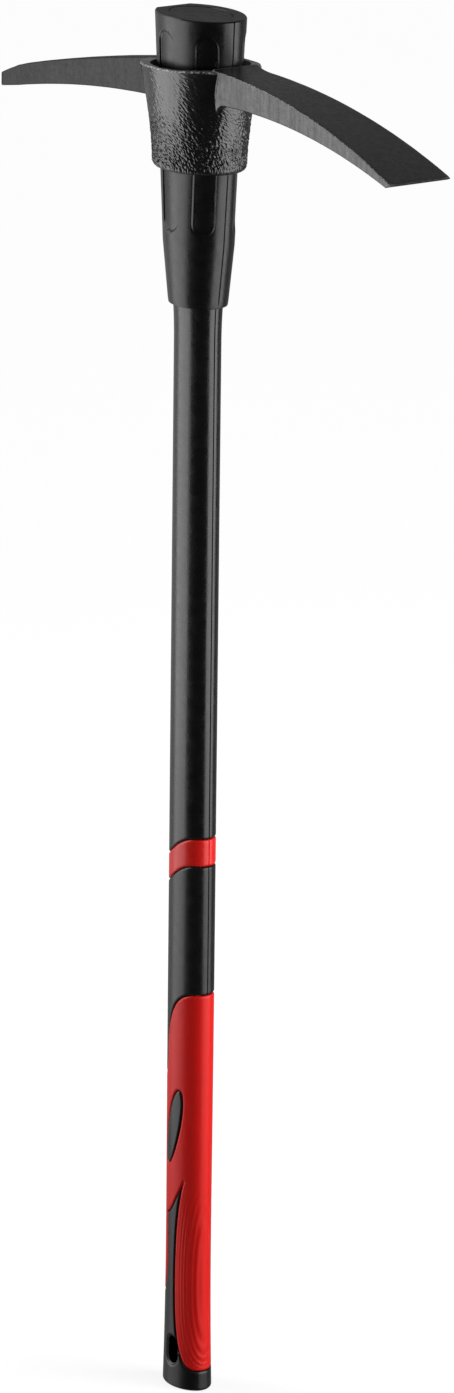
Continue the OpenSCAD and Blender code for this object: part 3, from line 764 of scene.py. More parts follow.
class MATTOCK_OT_head(Operator):
    """Forge the head: eye collar, adze and pick"""

    bl_idname = "mattock.head"
    bl_label = "Forged Head"

    # Points round and up the collar, along and across the blades, and on the beads of scale
    around = 760
    upward = 150
    foot_points = 7
    stations = 72
    bevel_stations = 5
    point_stations = 10
    corner_points = 5
    flat_points = 16
    bead_rings = 60
    bead_points = 8

    # Share of a thin section that one rounded corner may take
    corner_share = 0.45

    # Shares of the adze's flare that lift its top and draw in its underside
    flare_up = 0.5
    flare_under = 0.8

    # Cosine and sine of the dimples' slant, and how their depth changes up the collar
    pit_slant = (0.82, 0.57)
    pit_fade = 0.8
    pit_range = (0.3, 1.1)
    pit_power = 0.9
    pit_foot = 0.04
    pit_bias = 0.4

    # Layers of noise: the dimples, their finer half, their patches, and the second one of the hammer marks
    pit_layer = 3.1
    fine_layer = 9.4
    patch_layer = 7.7
    hammer_aside = Vector((5, 5, 5))

    # Middle and spread of the beads' radius, as shares of it
    bead_middle = 0.75
    bead_spread = 0.6

    # Parts of a face's normal, and shares of the ovals, by which a face gets its paint
    bevel_slope = (0.3, 0.95)
    mouth_slope = 0.2
    edge_slope = 0.25
    end_slope = 0.7
    rim_share = 0.95
    mouth_share = 0.995
    collar_share = 1.01

    # Places of the paints among the head's materials
    collar_paint, adze_paint, worn_paint, mouth_paint, pick_paint = range(5)

    def collar(self, handle, head):
        """Closed oval ring of the eye, dimpled outside."""
        crown = handle.handle_l - head.crown_drop
        foot = crown - head.collar_h
        low = foot + head.collar_round
        outer = []
        for a in np.linspace(0, math.pi / 2, self.foot_points):
            inset = head.collar_round * (1 - math.sin(a))
            outer.append((head.collar_foot_w / 2 - inset, low - head.collar_round * math.cos(a)))
        for z in np.linspace(low, crown - head.collar_bevel, self.upward)[1:]:
            outer.append((collar_half_width(handle, head, z), z))
        outer.append((head.collar_w / 2 - head.collar_bevel, crown))
        profile = [(*collar_oval(handle, head, half, z), z, True) for half, z in outer]
        profile.append((*self.mouth(handle, head), crown, False))
        for z in (crown - head.mouth_h, foot):
            a = sleeve_half_width(handle, z) + head.eye_gap
            profile.append((a, a * handle.sleeve_t / handle.sleeve_w, z, False))
        theta = full_turn(self.around)
        vertices = []
        for a, b, z, outside in profile:
            x, y = a * np.cos(theta), b * np.sin(theta)
            rise = (z - foot) / head.collar_h
            height = foot + rise * (crown_height(handle, head, x) - foot)
            for px, py, pz, t in zip(x, y, height, theta):
                depth = self.dimple(head, a * t, pz, rise) if outside else 0
                vertices.append((px - depth * math.cos(t), py - depth * math.sin(t), pz))
        return vertices, ring_faces(len(profile), self.around, closed=True)

    def mouth(self, handle, head):
        """Half axes of the eye's dished mouth, which leaves a narrow rim on the flat sides."""
        across = sleeve_half_width(handle, handle.handle_l - head.crown_drop) + head.mouth_gap
        return across, head.collar_t / 2 - head.collar_bevel - head.rim_w

    def dimple(self, head, along, up, rise):
        """Depth of the cast dimples, slanting and deeper towards the foot."""
        c, s = self.pit_slant
        u, v = (c * along + s * up) / head.pit_w, (c * up - s * along) / head.pit_h
        pits = noise.noise(Vector((u, v, self.pit_layer)))
        pits += noise.noise(Vector((2 * u, 2 * v, self.fine_layer))) / 2
        patch = Vector((along / head.pit_patch, up / head.pit_patch, self.patch_layer))
        uneven = 1 + noise.noise(patch) / 2
        least, most = self.pit_range
        low = min(max((1 - rise) / self.pit_fade, least), most) ** self.pit_power
        low *= min(max(rise / self.pit_foot, 0), 1)
        return head.pebble * (pits + self.pit_bias) * uneven * low

    def loft(self, sections):
        """Rings of points joined to a bar that is closed at both ends."""
        count = len(sections[0])
        vertices = [p for section in sections for p in section]
        faces = ring_faces(len(sections), count)
        faces.append(tuple(range(count)))
        faces.append(tuple(range(len(vertices) - count, len(vertices))))
        return vertices, faces

    def section(self, handle, head, x, half, low, high, inset=0.0, narrow=0.0):
        """Rounded bar section across a blade, with points along its flats and narrower below."""
        half, low, high = half - inset, low + inset, high - inset
        corner = min(head.edge_radius, (high - low) * self.corner_share, half * self.corner_share)
        points = []
        for quarter, (sy, sz) in enumerate(((1, 1), (-1, 1), (-1, -1), (1, -1))):
            cy = sy * (half - corner - (narrow if sz < 0 else 0))
            cz = (high if sz > 0 else low) - sz * corner
            for step in range(self.corner_points):
                a = math.pi / 2 * (quarter + step / (self.corner_points - 1))
                points.append((cy + corner * math.cos(a), cz + corner * math.sin(a)))
        ring = []
        for i, p in enumerate(points):
            q = points[(i + 1) % len(points)]
            ring.append(p)
            if (i + 1) % self.corner_points == 0:
                for k in range(1, self.flat_points):
                    ring.append(tuple(p[n] + (q[n] - p[n]) * k / self.flat_points for n in (0, 1)))
        return [self.hammered(head, x, y, self.under_mouth(handle, head, x, y, z)) for y, z in ring]

    def under_mouth(self, handle, head, x, y, z):
        """Keeps a blade's root below the dished mouth of the eye."""
        a, b = self.mouth(handle, head)
        inside = math.hypot(x / (a + head.mouth_ease), y / (b + head.mouth_ease)) < 1
        lid = handle.handle_l - head.crown_drop - head.mouth_h - head.root_drop
        return min(z, lid) if inside else z

    def hammered(self, head, x, y, z):
        """A point of a blade, moved a little as by forging."""
        place = Vector((x, y, z)) / head.hammer_patch
        across, up = noise.noise(place), noise.noise(place + self.hammer_aside)
        return x, y + head.hammer * across, z + head.hammer * up

    def flare(self, head, distance):
        """Spread of a blade where it runs into the collar."""
        return head.fillet_h * max(1 - distance / head.fillet, 0) ** 2

    def distances(self, head, root, end):
        """Distances from the axis along a blade, closer together where it runs into the collar."""
        flared = head.collar_w / 2 + head.fillet
        near = list(np.linspace(root, flared, self.stations // 2))
        return near + list(np.linspace(flared, end, self.stations)[1:])

    def adze(self, handle, head):
        """Adze blade with its hollow underside and the bevel under its cutting edge."""
        rim, root = head.collar_w / 2, handle.sleeve_w / 2 + head.root_gap
        spread = (head.adze_edge_w - head.adze_root_w) / 2 / (head.adze_reach - rim)
        hollow = handle.handle_l - head.crown_drop - head.hollow_drop
        bevel = head.adze_reach - head.bevel_l
        bevel_z = blade_height(handle, head, bevel) - head.bevel_t
        edge_z = blade_height(handle, head, head.adze_reach) - head.adze_edge_t
        places = self.distances(head, root, bevel)
        places += list(np.linspace(bevel, head.adze_reach, self.bevel_stations)[1:])
        sections = []
        for x in places:
            grow = self.flare(head, x - root)
            half = head.adze_root_w / 2 + spread * (x - rim) + grow
            high = blade_height(handle, head, x) + self.flare_up * grow
            if x < rim:
                high = max(high, crown_height(handle, head, x) + head.adze_stand)
            if x <= bevel:
                low = hollow - arc_drop(x, head.hollow_x, bevel - head.hollow_x, hollow - bevel_z)
                low -= head.toe * max(1 - (x - root) / head.toe_run, 0) ** 2
            else:
                low = bevel_z + (edge_z - bevel_z) * (x - bevel) / head.bevel_l
            inset = head.adze_break if x == head.adze_reach else 0
            sections.append(self.section(handle, head, x, half, low, high, inset, self.flare_under * grow))
        return self.loft(sections)

    def pick(self, handle, head):
        """Tapering pick with its blunt bevelled point."""
        rim, root = head.collar_w / 2, handle.sleeve_w / 2 + head.root_gap
        neck = head.pick_reach - head.pick_tip_l
        low_neck = handle.handle_l - head.crown_drop - head.pick_neck_drop
        high_neck = low_neck + head.pick_neck_h
        low_tip = low_neck - head.pick_tip_drop
        high_tip = low_tip + head.pick_tip_h
        top = crown_height(handle, head, -rim)
        under = top - head.pick_root_h
        slim = (head.pick_root_t - head.pick_tip_t) / 2 / (head.pick_reach - rim)
        places = self.distances(head, root, neck)
        places += list(np.linspace(neck, head.pick_reach - head.edge_radius, self.point_stations)[1:])
        sections = []
        for d in places + [head.pick_reach]:
            if d <= neck:
                on = (d - rim) / (neck - rim)
                bow = max(4 * on * (1 - on), 0)
                high = top + (high_neck - top) * on + head.pick_top_bow * bow
                high = min(high, crown_height(handle, head, -d)) if d < rim else high
                low = under + (low_neck - under) * on + head.pick_under_bow * bow
            else:
                on = (d - neck) / head.pick_tip_l
                high = high_neck + (high_tip - high_neck) * on
                low = low_neck + (low_tip - low_neck) * on
            high -= head.pick_round * math.exp(-(((d - neck) / head.round_run) ** 2))
            half = head.pick_root_t / 2 - slim * (d - rim)
            inset = head.pick_break if d == head.pick_reach else 0
            sections.append(self.section(handle, head, -d, half, low, high, inset))
        return self.loft(sections)

    def scale_line(self, handle, head, side, out, low, high, lean=0.0):
        """Uneven bead of scale where the side of a blade meets the collar."""
        sections = []
        for z in np.linspace(low, high, self.bead_rings):
            y = out - lean * (high - z)
            a, b = collar_oval(handle, head, collar_half_width(handle, head, z), z)
            x = math.copysign(a * math.sqrt(1 - (y / b) ** 2), side)
            lump = noise.noise(Vector((0, y, z)) / head.bead_lump)
            radius = head.bead * (self.bead_middle + self.bead_spread * lump)
            turn = full_turn(self.bead_points)
            sections.append([(x + radius * math.cos(t), y + radius * math.sin(t), z) for t in turn])
        return self.loft(sections)

    def parts(self, handle, head):
        """Names and meshes of the head's forms."""
        crown = handle.handle_l - head.crown_drop
        pick_top = crown_height(handle, head, -head.collar_w / 2)
        parts = [("collar", self.collar(handle, head))]
        parts += [("adze", self.adze(handle, head)), ("pick", self.pick(handle, head))]
        for sign in (-1, 1):
            y, low = sign * head.pick_root_t / 2, pick_top - head.pick_root_h
            parts.append(("bead", self.scale_line(handle, head, -1, y, low, pick_top)))
            y, lean = sign * head.adze_bead_y, sign * head.adze_bead_lean
            low, high = crown - head.adze_bead_low, crown - head.adze_bead_high
            parts.append(("bead", self.scale_line(handle, head, 1, y, low, high, lean)))
        return parts

    def execute(self, context):
        handle, _, head, colours = settings(context)
        vertices, faces, owners = [], [], []
        for part, (points, quads) in self.parts(handle, head):
            start = len(vertices)
            vertices += list(points)
            faces += [tuple(v + start for v in quad) for quad in quads]
            owners += [part] * len(quads)
        materials = [
            paint_material("cast_collar_paint", colours, roughness=0.17, specular=1, brushed=0.25),
            paint_material("brushed_adze_paint", colours, roughness=0.33, specular=1, brushed=1),
            worn_highlight_material("worn_edge_highlight_paint", colours),
            moulded_material(
                "eye_mouth_paint", colours.head, roughness=0.6, specular=0.15, grain=0.3, streaks=0
            ),
            paint_material("brushed_pick_paint", colours, roughness=0.36, specular=0.34, brushed=0.6),
        ]
        piece = link_piece(
            "head_forging", vertices, faces, materials, "head", "head_paint", ["head"], crease=50
        )
        for face, part in zip(piece.data.polygons, owners):
            face.material_index = self.finish(handle, head, face, part)
        return {"FINISHED"}

    def finish(self, handle, head, face, part):
        """Which paint a face has: cast collar, brushed blade, pale edge paint that is partly worn and partly
        a painted highlight, or the eye's mouth.
        """
        if part == "collar":
            return self.collar_finish(handle, head, face.center, face.normal)
        if part == "adze":
            return self.adze_finish(handle, head, face.center, face.normal)
        # The scale beads take the pale edge paint too, partly worn and partly a painted highlight line
        return self.pick_paint if part == "pick" else self.worn_paint

    def collar_finish(self, handle, head, place, normal):
        """Paint of the collar, pale along its rim, partly worn and partly a painted highlight line, and dull
        inside its mouth.
        """
        least, most = self.bevel_slope
        edge = math.hypot(place.x / (head.collar_w / 2), place.y / (head.collar_t / 2))
        high = place.z > crown_height(handle, head, place.x) - head.collar_bevel
        if high and least < normal.z < most and edge > self.rim_share:
            return self.worn_paint
        a, b = self.mouth(handle, head)
        inside = math.hypot(place.x / a, place.y / b) < self.mouth_share
        return self.mouth_paint if normal.z > self.mouth_slope and inside else self.collar_paint

    def adze_finish(self, handle, head, place, normal):
        """Paint of the adze, dull on its end face and pale along its upper edges, partly worn and partly a
        painted highlight line.
        """
        if normal.x > self.end_slope:
            return self.mouth_paint
        a, b = collar_oval(handle, head, collar_half_width(handle, head, place.z), place.z)
        outside = math.hypot(place.x / a, place.y / b) >= self.collar_share
        on_edge = abs(normal.y) > self.edge_slope and normal.z > self.edge_slope
        return self.worn_paint if on_edge and outside else self.adze_paint


class MATTOCK_OT_sleeve(Operator):
    """Mould the fluted eye sleeve"""

    bl_idname = "mattock.sleeve"
    bl_label = "Eye Sleeve"

    # Points round the sleeve, and heights between its rows of points
    around = 720
    foot_step = 2 * MM
    row_step = 1 * MM

    # Middle of the lower end's rounding, as shares of its width and height
    end_bulge = (0.25, 0.3)

    # Turns of the flutes in degrees, and how far across a flute a turn reaches, as a share of the half width
    flutes = (38, 99, 152, 208, 261, 322)
    flute_pace = 0.81

    # Upward part of the normal of the faces on the sleeve's top
    top_slope = 0.9

    def profile(self, handle):
        """Half widths and heights from the bore up the outside to the plug's seat."""
        top, low = handle.handle_l, handle.handle_l - handle.sleeve_h
        waist, end = low + handle.foot_h, handle.end_w / 2
        bore = handle.shaft_w / 2 + handle.shoulder + handle.seam
        seat = handle.plug_w / 2 + handle.seam
        wide, tall = handle.end_round_w, handle.end_round_h
        across, up = self.end_bulge
        points = [(bore, low + tall), (bore + handle.bore_bevel, low), (end - wide, low)]
        points += [(end - across * wide, low + up * tall), (end, low + tall)]
        for z in rows_between(low + tall, waist, self.foot_step)[1:]:
            points.append((end + (handle.waist_w / 2 - end) * (z - low) / handle.foot_h, z))
        for z in rows_between(waist, top - handle.bevel, self.row_step)[1:]:
            points.append((sleeve_half_width(handle, z), z))
        points += [(handle.sleeve_w / 2 - handle.bevel, top), (seat + handle.seat_bevel, top)]
        return points + [(seat, top - handle.seat_bevel), (seat, top - handle.plug_h)]

    def relief(self, handle, r, squash, theta, z):
        """Depth of the round-ended flutes and of the parting line at one level."""
        half = handle.flute_w / 2
        high = handle.handle_l - handle.flute_drop - half
        low = handle.handle_l - handle.flute_drop - handle.flute_l + half
        past = max(z - high, low - z, 0)
        depth = np.zeros_like(theta)
        for degrees in self.flutes:
            apart = np.abs((theta - math.radians(degrees) + math.pi) % (2 * math.pi) - math.pi)
            inside = half - np.hypot(apart * r * self.flute_pace, past)
            wall = smooth_step(np.clip(inside / handle.flute_wall, 0, 1))
            depth = np.maximum(depth, handle.flute_depth * wall)
        parting = np.exp(-((r * squash * np.sin(theta) / handle.parting_w) ** 2)) * (np.cos(theta) > 0)
        return depth + handle.parting * parting

    def execute(self, context):
        handle, _, head, colours = settings(context)
        top, low = handle.handle_l, handle.handle_l - handle.sleeve_h
        collar = top - head.crown_drop - head.collar_h
        squash = handle.sleeve_t / handle.sleeve_w
        theta = full_turn(self.around)
        out = np.column_stack((squash * np.cos(theta), np.sin(theta)))
        out /= np.linalg.norm(out, axis=1)[:, None]
        profile = self.profile(handle)
        vertices = []
        for r, z in profile:
            ease = head.foot_ease * min(max((collar - z) / (collar - low), 0), 1)
            x, y = r * (1 - ease) * np.cos(theta), r * squash * (1 + ease) * np.sin(theta)
            depth = self.relief(handle, r, squash, theta, z) if r > handle.end_w / 2 else 0
            x, y = x - depth * out[:, 0], y - depth * out[:, 1]
            vertices += list(zip(np.maximum(x, -handle.key_flat), y, np.full(len(theta), z)))
        faces = ring_faces(len(profile), self.around, closed=True)
        flank = moulded_material(
            "sleeve_plastic", colours.plastic, roughness=0.29, specular=0.62, grain=0.05, streaks=0.25
        )
        finishes = [flank, end_plastic("sleeve_end_plastic", colours)]
        piece = link_piece(
            "sleeve_moulding", vertices, faces, finishes, "handle", "black_plastic", ["eye_sleeve"], crease=35
        )
        for face in piece.data.polygons:
            face.material_index = int(face.normal.z > self.top_slope and face.center.z > top - handle.bevel)
        return {"FINISHED"}


class MATTOCK_OT_plug(Operator):
    """Press the oval plug into the top of the sleeve"""

    bl_idname = "mattock.plug"
    bl_label = "Top Plug"

    # Points round the plug, and rings across its dished face from a share of its half width
    around = 160
    face_rings = 7
    face_share = 0.9

    def execute(self, context):
        handle, _, _, colours = settings(context)
        top, low = handle.handle_l - handle.seam, handle.handle_l - handle.plug_h
        squash = handle.sleeve_t / handle.sleeve_w
        half, bevel = handle.plug_w / 2, handle.plug_bevel
        profile = [(0, low), (half, low), (half, top - bevel), (half - bevel, top)]
        for s in np.linspace(self.face_share, 0, self.face_rings):
            profile.append((half * s, top - handle.plug_dish * (1 - s)))
        theta = full_turn(self.around)
        vertices = []
        for r, z in profile:
            vertices += list(zip(r * np.cos(theta), r * squash * np.sin(theta), np.full(len(theta), z)))
        faces = ring_faces(len(profile), self.around)
        finishes = [end_plastic("plug_plastic", colours)]
        link_piece("plug_disc", vertices, faces, finishes, "handle", "black_plastic", ["top_plug"], crease=35)
        return {"FINISHED"}


class MATTOCK_OT_shaft(Operator):
    """Mould the shaft's jacket and the red band below it"""

    bl_idname = "mattock.shaft"
    bl_label = "Shaft And Band"

    # Points round the shaft, and heights between rows of points along the band and above it
    around = 208
    band_step = 0.7 * MM
    shaft_step = 2.5 * MM

    # How far the rows reach below and above the band, and up into the sleeve
    below_band = 4 * MM
    above_band = 2 * MM
    in_sleeve = 20 * MM

    def execute(self, context):
        handle, grip, _, colours = settings(context)
        low = grip.band_z - grip.band_drop - grip.band_h - self.below_band
        middle = grip.band_z + self.above_band
        high = handle.handle_l - handle.sleeve_h + self.in_sleeve
        levels = rows_between(low, middle, self.band_step)
        levels = np.concatenate((levels, rows_between(middle, high, self.shaft_step)[1:]))
        half, deep = shaft_half_width(handle, grip, levels), shaft_half_depth(handle, grip, levels)
        skin = Skin(grip, half, deep, levels, self.around)
        edge = wave_height(grip, skin.x)
        gap = handle.groove / 2
        parting = parting_relief(handle)
        black = moulded_material(
            "shaft_plastic", colours.plastic, roughness=0.25, specular=0.85, grain=0.06, streaks=0.3
        )
        shell = skin.piece(skin.z - edge - gap, handle.jacket_t, parting)
        link_piece("shaft_skin", *shell, [black], "handle", "black_plastic", ["shaft_jacket"])
        red = moulded_material(
            "band_rubber", colours.red, roughness=0.3, specular=0.6, grain=0.1, streaks=0.1, uneven=0.04
        )
        band = np.minimum(edge - skin.z, skin.z - edge + grip.band_h) - gap
        shell = skin.piece(band, grip.band_t, parting)
        link_piece("band_ring", *shell, [red], "handle", "red_grip", ["red_band"])
        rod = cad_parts["core_rod"].data.materials
        rod.clear()
        rod.append(moulded_material(
            "fibreglass_rod", colours.fibre, roughness=0.45, specular=0.5, grain=0.1, streaks=0.8
        ))
        return {"FINISHED"}


class MATTOCK_OT_grip(Operator):
    """Mould the soft grip: black sleeve, red skin, leaves and butt"""

    bl_idname = "mattock.grip"
    bl_label = "Soft Grip And Butt"

    # Points round the grip, heights between its rows, and rings across the butt's face and rounding
    around = 288
    row_step = 0.6 * MM
    face_rings = 9
    round_rings = 9

    # Rings of the hang hole's mouth, from behind the butt's skin into the hole: spread and depth in lips
    hole_points = 72
    hole_rings = ((2.4, 2.2), (1, 0), (0.55, 0.35), (0.2, 0.75), (0, 1.4))

    # Where the hole's lip, paler as a painted highlight, ends and the bore's painted shade starts: round the
    # hole in lips, and depth below the butt's surface
    lip_reach = 1.1
    lip_depth = 2.2 * MM

    # A distance that counts as outside a piece
    outside = -1 * MM

    def surface(self, handle, grip):
        """Grid from the middle of the butt face up to the red band."""
        turn = np.linspace(0, math.pi / 2, self.round_rings)
        edge_z = grip.butt_round * (1 - np.cos(turn))
        inset = grip.butt_round * (1 - np.sin(turn))
        flank_z = rows_between(grip.butt_round, grip.band_z, self.row_step)[1:]
        across = np.arange(self.face_rings) / self.face_rings
        height = np.concatenate((np.zeros(self.face_rings), edge_z, flank_z))
        ovals = []
        for half in (shaft_half_width, shaft_half_depth):
            edge = half(handle, grip, edge_z) - inset
            ovals.append(np.concatenate((edge[0] * across, edge, half(handle, grip, flank_z))))
        return Skin(grip, *ovals, height, self.around)

    def ribs(self, grip):
        """Relief of the fine ribs that run beside the front tongue's edge."""
        half = grip.tongue_x - grip.front_edge

        def relief(x, y, z):
            above = z > grip.front_belly
            tall = np.where(above, grip.front_rise, grip.front_belly - grip.front_foot)
            power = np.where(above, 2, grip.tongue_power)
            along = np.minimum(np.abs((z - grip.front_belly) / tall), 1) ** power
            turn = (x - grip.tongue_x + half * (1 - along) ** (1 / power)) / grip.rib_pitch
            inside = tongue_field(grip, x, z, True) / grip.rib_pitch - 1
            fade = np.clip(inside, 0, 1) * np.clip((grip.tail_z - z) / grip.rib_fade, 0, 1)
            return -grip.rib * fade * (1 - np.cos(2 * math.pi * turn)) / 2

        return relief

    def hole_wall(self, handle, grip):
        """Wall of the hang hole, rounded at both mouths."""
        straight = (grip.hole_h - grip.hole_w) / 2
        turn = full_turn(self.hole_points)
        rings = []
        for side in (-1, 1):
            for grow, deep in self.hole_rings[::-side]:
                r = grip.hole_w / 2 + grow * grip.hole_lip
                x = r * np.cos(turn)
                z = grip.hole_z + r * np.sin(turn) + np.where(np.sin(turn) > 0, straight, -straight)
                y = self.surface_depth(handle, grip, x, z) - deep * grip.hole_lip - grip.edge_drop
                rings.append(np.column_stack((x, side * y, z)))
        return np.vstack(rings), ring_faces(len(rings), self.hole_points, closed=True)

    def surface_depth(self, handle, grip, x, z):
        """Distance of the grip's surface from its middle plane, along Y."""
        share_out = x / shaft_half_width(handle, grip, z)
        return shaft_half_depth(handle, grip, z) * np.sqrt(np.maximum(1 - share_out**2, 0))

    def butt(self, handle, grip, skin, tail, black, colours):
        """Butt with its tails and its hang hole, with painted shade inside and a painted highlight round the
        lip.
        """
        field = np.minimum(tail, -hole_field(grip, skin.x, skin.z) - grip.hole_lip) - handle.groove / 2
        vertices, faces = skin.piece(field, grip.skin_t)
        wall_vertices, wall_faces = self.hole_wall(handle, grip)
        start = len(vertices)
        vertices = np.vstack((vertices, wall_vertices))
        faces = faces + [tuple(v + start for v in face) for face in wall_faces]
        # Painted shade for the hole's bore and a painted highlight for its lip
        dark, pale = brighter(colours.black, BORE_SHADE_TONE), brighter(colours.black, LIP_HIGHLIGHT_TONE)
        bore = moulded_material("hole_shade_rubber", dark, roughness=0.7, specular=0.1, grain=0.15, streaks=0.1)
        lip = moulded_material("lip_highlight_rubber", pale, roughness=0.35, specular=0.85, grain=0.12, streaks=0.15)
        finishes = [black, bore, lip]
        piece = link_piece("butt_moulding", vertices, faces, finishes, "handle", "black_grip", ["butt_cap"])
        for face in piece.data.polygons:
            x, y, z = face.center
            in_hole = hole_field(grip, x, z) > -self.lip_reach * grip.hole_lip
            if in_hole and z > grip.butt_round:
                deep = self.surface_depth(handle, grip, x, z) - abs(y)
                face.material_index = finishes.index(bore if deep > self.lip_depth else lip)

    def execute(self, context):
        handle, grip, _, colours = settings(context)
        skin = self.surface(handle, grip)
        x, z, gap = skin.x, skin.z, handle.groove / 2
        red = moulded_material(
            "skin_rubber", colours.red, roughness=0.33, specular=0.36, grain=0.12, streaks=0.3, uneven=0.04
        )
        black = moulded_material(
            "grip_rubber", colours.black, roughness=0.3, specular=0.75, grain=0.12, streaks=0.15
        )
        below, tail, leaf = skin_field(grip, x, z), tail_field(grip, x, z), leaf_field(grip, x, z)
        land = np.minimum(wave_height(grip, x) - grip.band_h - z, -below) - gap
        shell = skin.piece(land, grip.black_t, parting_relief(handle))
        link_piece("grip_black", *shell, [black], "handle", "black_grip", ["grip_sleeve"])
        cover = np.minimum(np.minimum(below, -tail), -leaf) - gap
        shell = skin.piece(cover, grip.skin_t, self.ribs(grip))
        link_piece("grip_red", *shell, [red], "handle", "red_grip", ["grip_skin"])
        for name, node, side in (("leaf_front", "leaf_pad_front", -1), ("leaf_back", "leaf_pad_back", 1)):
            field = np.where(side * skin.side > 0, leaf - gap, self.outside)
            shell = skin.piece(field, grip.skin_t)
            link_piece(name, *shell, [black], "handle", "black_grip", [node])
        self.butt(handle, grip, skin, tail, black, colours)
        return {"FINISHED"}


class MATTOCK_OT_stage(Operator):
    """Set the camera, the lamps, the floor and the pale background"""

    bl_idname = "mattock.stage"
    bl_label = "Studio"

    # Sensor width in millimetres, and how far the camera sees in metres
    sensor_w = 36
    far_clip = 100

    # Lower edge, upper edge and brightness of the panels that make up a lamp
    panels = ((0.15, 1.37, 1.0), (-0.15, 0.15, 0.7), (-0.75, -0.15, 0.25))

    # How far a direction points to the back, where the dim studio gives way to the pale backdrop
    backdrop_edge = (-0.3, 0.4)

    # Distances from the butt over which the floor turns whiter, and its brightness there
    glow_run = (0.1, 0.6)
    glow_level = (0.82, 0.97)

    def camera(self, scene, studio):
        """Camera at the photograph's viewing angle."""
        turn, pitch = studio.camera_turn, studio.camera_pitch
        level = Vector((-math.sin(turn), math.cos(turn), 0))
        forward = level * math.cos(pitch) - Vector((0, 0, math.sin(pitch)))
        right = Vector((math.cos(turn), math.sin(turn), 0))
        up = right.cross(forward)
        c, s = math.cos(studio.camera_roll), math.sin(studio.camera_roll)
        right, up = right * c + up * s, up * c - right * s
        data = bpy.data.cameras.new("photo_camera")
        data.lens = studio.lens
        data.sensor_width = self.sensor_w
        data.shift_x = studio.shift
        data.clip_end = self.far_clip
        camera = bpy.data.objects.new("photo_camera", data)
        place = Vector((0, 0, studio.camera_up)) - level * studio.camera_away
        rotation = Matrix((right, up, -forward)).transposed().to_4x4()
        camera.matrix_world = Matrix.Translation(place) @ rotation
        scene.collection.objects.link(camera)
        scene.camera = camera

    def lamp(self, scene, name, turn, away, width, power, mirrored=True):
        """Upright lamp at a turn from the camera's side, dimmer towards its foot."""
        turn += scene.mattock_studio.camera_turn
        inward = Vector((-math.sin(turn), math.cos(turn), 0))
        for low, high, level in self.panels:
            data = bpy.data.lights.new(name, "AREA")
            data.shape = "RECTANGLE"
            data.size, data.size_y = width, high - low
            data.energy = power * level * data.size * data.size_y
            lamp = bpy.data.objects.new(name, data)
            lamp.location = Vector((0, 0, (low + high) / 2)) - inward * away
            lamp.rotation_euler = inward.to_track_quat("-Z", "Y").to_euler()
            lamp.visible_glossy = mirrored
            scene.collection.objects.link(lamp)

    def background(self, scene, studio):
        """White for the camera, and pale behind and dim all round for everything else."""
        world = bpy.data.worlds.new("studio_world")
        scene.world = world
        world.use_nodes = True
        tree = world.node_tree
        tree.nodes.clear()
        rays = tree.nodes.new("ShaderNodeLightPath").outputs
        place = tree.nodes.new("ShaderNodeTexCoord")
        behind = tree.nodes.new("ShaderNodeVectorMath")
        behind.operation = "DOT_PRODUCT"
        turn = studio.camera_turn + studio.backdrop_turn
        behind.inputs[1].default_value = (-math.sin(turn), math.cos(turn), 0)
        tree.links.new(place.outputs["Generated"], behind.inputs[0])
        rear = add_range(tree, behind.outputs["Value"], *self.backdrop_edge, studio.gloom, studio.backdrop)
        mirror = add_math(tree, "MAXIMUM", rays["Is Glossy Ray"], rays["Is Transmission Ray"])
        soft = add_range(tree, rays["Is Diffuse Ray"], 0, 1, 0, studio.ambient)
        light = add_math(tree, "MAXIMUM", add_math(tree, "MULTIPLY", mirror, rear), soft)
        light = add_math(tree, "MAXIMUM", light, rays["Is Camera Ray"])
        white = tree.nodes.new("ShaderNodeBackground")
        white.inputs["Color"].default_value = (1, 1, 1, 1)
        tree.links.new(light, white.inputs["Strength"])
        output = tree.nodes.new("ShaderNodeOutputWorld")
        tree.links.new(white.outputs[0], output.inputs["Surface"])

    def floor(self, scene, studio, colours):
        """Pale floor that shows nearly white to the camera and keeps the shadow."""
        half = studio.floor_w / 2
        corners = [(x * half, y * half, -studio.floor_gap) for x, y in ((-1, -1), (1, -1), (1, 1), (-1, 1))]
        mesh = bpy.data.meshes.new("studio_floor")
        mesh.from_pydata(corners, [], [(0, 1, 2, 3)])
        floor = bpy.data.objects.new("studio_floor", mesh)
        scene.collection.objects.link(floor)
        material, tree, shader = new_material("floor_paper", colours.floor, roughness=0.9, specular=0.1)
        rays = tree.nodes.new("ShaderNodeLightPath").outputs
        place = tree.nodes.new("ShaderNodeTexCoord")
        away = tree.nodes.new("ShaderNodeVectorMath")
        away.operation = "LENGTH"
        tree.links.new(place.outputs["Object"], away.inputs[0])
        white = add_range(tree, away.outputs["Value"], *self.glow_run, *self.glow_level)
        glow = add_math(tree, "MULTIPLY", rays["Is Camera Ray"], white)
        shader.inputs["Emission Color"].default_value = (1, 1, 1, 1)
        tree.links.new(glow, shader.inputs["Emission Strength"])
        mesh.materials.append(material)
        floor.visible_glossy = False

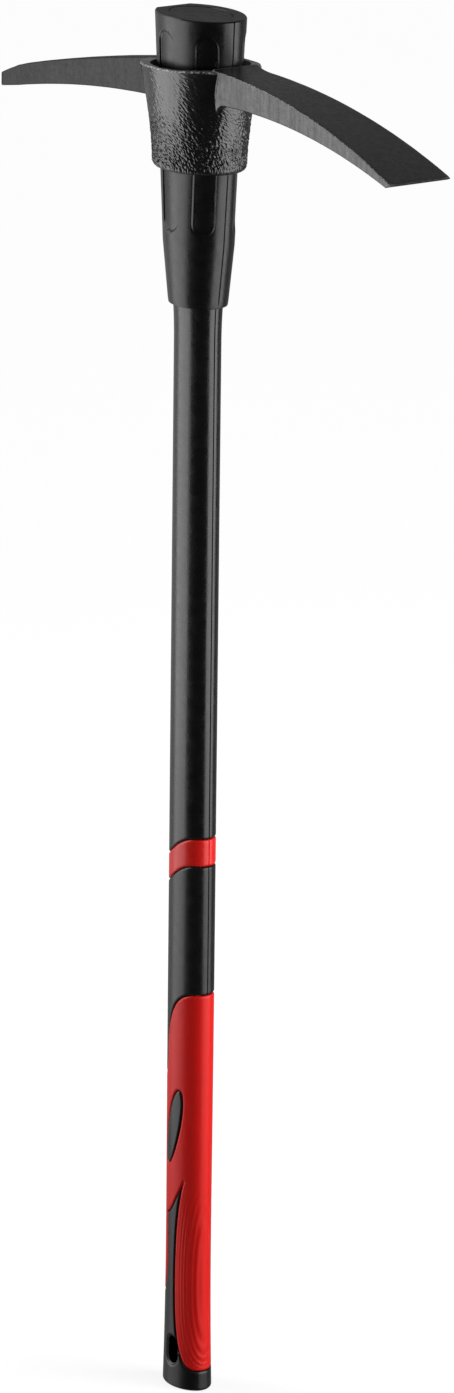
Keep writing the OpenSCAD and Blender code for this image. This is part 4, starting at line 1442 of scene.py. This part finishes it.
    def execute(self, context):
        scene = context.scene
        studio, colours = scene.mattock_studio, scene.mattock_colours
        self.camera(scene, studio)
        for name, turn, away, width, power in (
            ("soft_box", studio.soft_turn, studio.soft_away, studio.soft_w, studio.soft_power),
            ("wide_light", studio.wide_turn, studio.wide_away, studio.wide_w, studio.wide_power),
            ("strip_light", studio.strip_turn, studio.strip_away, studio.strip_w, studio.strip_power),
        ):
            self.lamp(scene, name, turn, away, width, power)
        for name, turn, width in (
            ("right_fill", studio.right_turn, studio.right_w),
            ("left_fill", studio.left_turn, studio.left_w),
        ):
            self.lamp(scene, name, turn, studio.fill_away, width, studio.fill_power, mirrored=False)
        self.background(scene, studio)
        self.floor(scene, studio, colours)
        scene.view_settings.view_transform = "Standard"
        return {"FINISHED"}


class MATTOCK_PT_panel(Panel):
    """Lists the operators that build the mattock"""

    bl_idname = "MATTOCK_PT_panel"
    bl_label = "Pick Mattock"
    bl_space_type = "VIEW_3D"
    bl_region_type = "UI"
    bl_category = "Mattock"

    def draw(self, context):
        for operator in OPERATORS:
            self.layout.operator(operator.bl_idname)


GROUPS = {
    "mattock_handle": HandleSizes,
    "mattock_grip": GripSizes,
    "mattock_head": HeadSizes,
    "mattock_colours": MattockColours,
    "mattock_studio": StudioSizes,
}
OPERATORS = (
    MATTOCK_OT_head,
    MATTOCK_OT_sleeve,
    MATTOCK_OT_plug,
    MATTOCK_OT_shaft,
    MATTOCK_OT_grip,
    MATTOCK_OT_stage,
)


def register():
    """Registers the classes and hangs the property groups on the scene."""
    for name, group in GROUPS.items():
        bpy.utils.register_class(group)
        setattr(bpy.types.Scene, name, PointerProperty(type=group))
    for item in (*OPERATORS, MATTOCK_PT_panel):
        bpy.utils.register_class(item)


def unregister():
    """Undoes register."""
    for item in (MATTOCK_PT_panel, *reversed(OPERATORS)):
        bpy.utils.unregister_class(item)
    for name, group in reversed(GROUPS.items()):
        delattr(bpy.types.Scene, name)
        bpy.utils.unregister_class(group)


def main():
    """Builds every piece and the stage."""
    register()
    bpy.ops.mattock.stage()
    bpy.ops.mattock.head()
    bpy.ops.mattock.sleeve()
    bpy.ops.mattock.plug()
    bpy.ops.mattock.shaft()
    bpy.ops.mattock.grip()


if __name__ == "__main__":
    main()
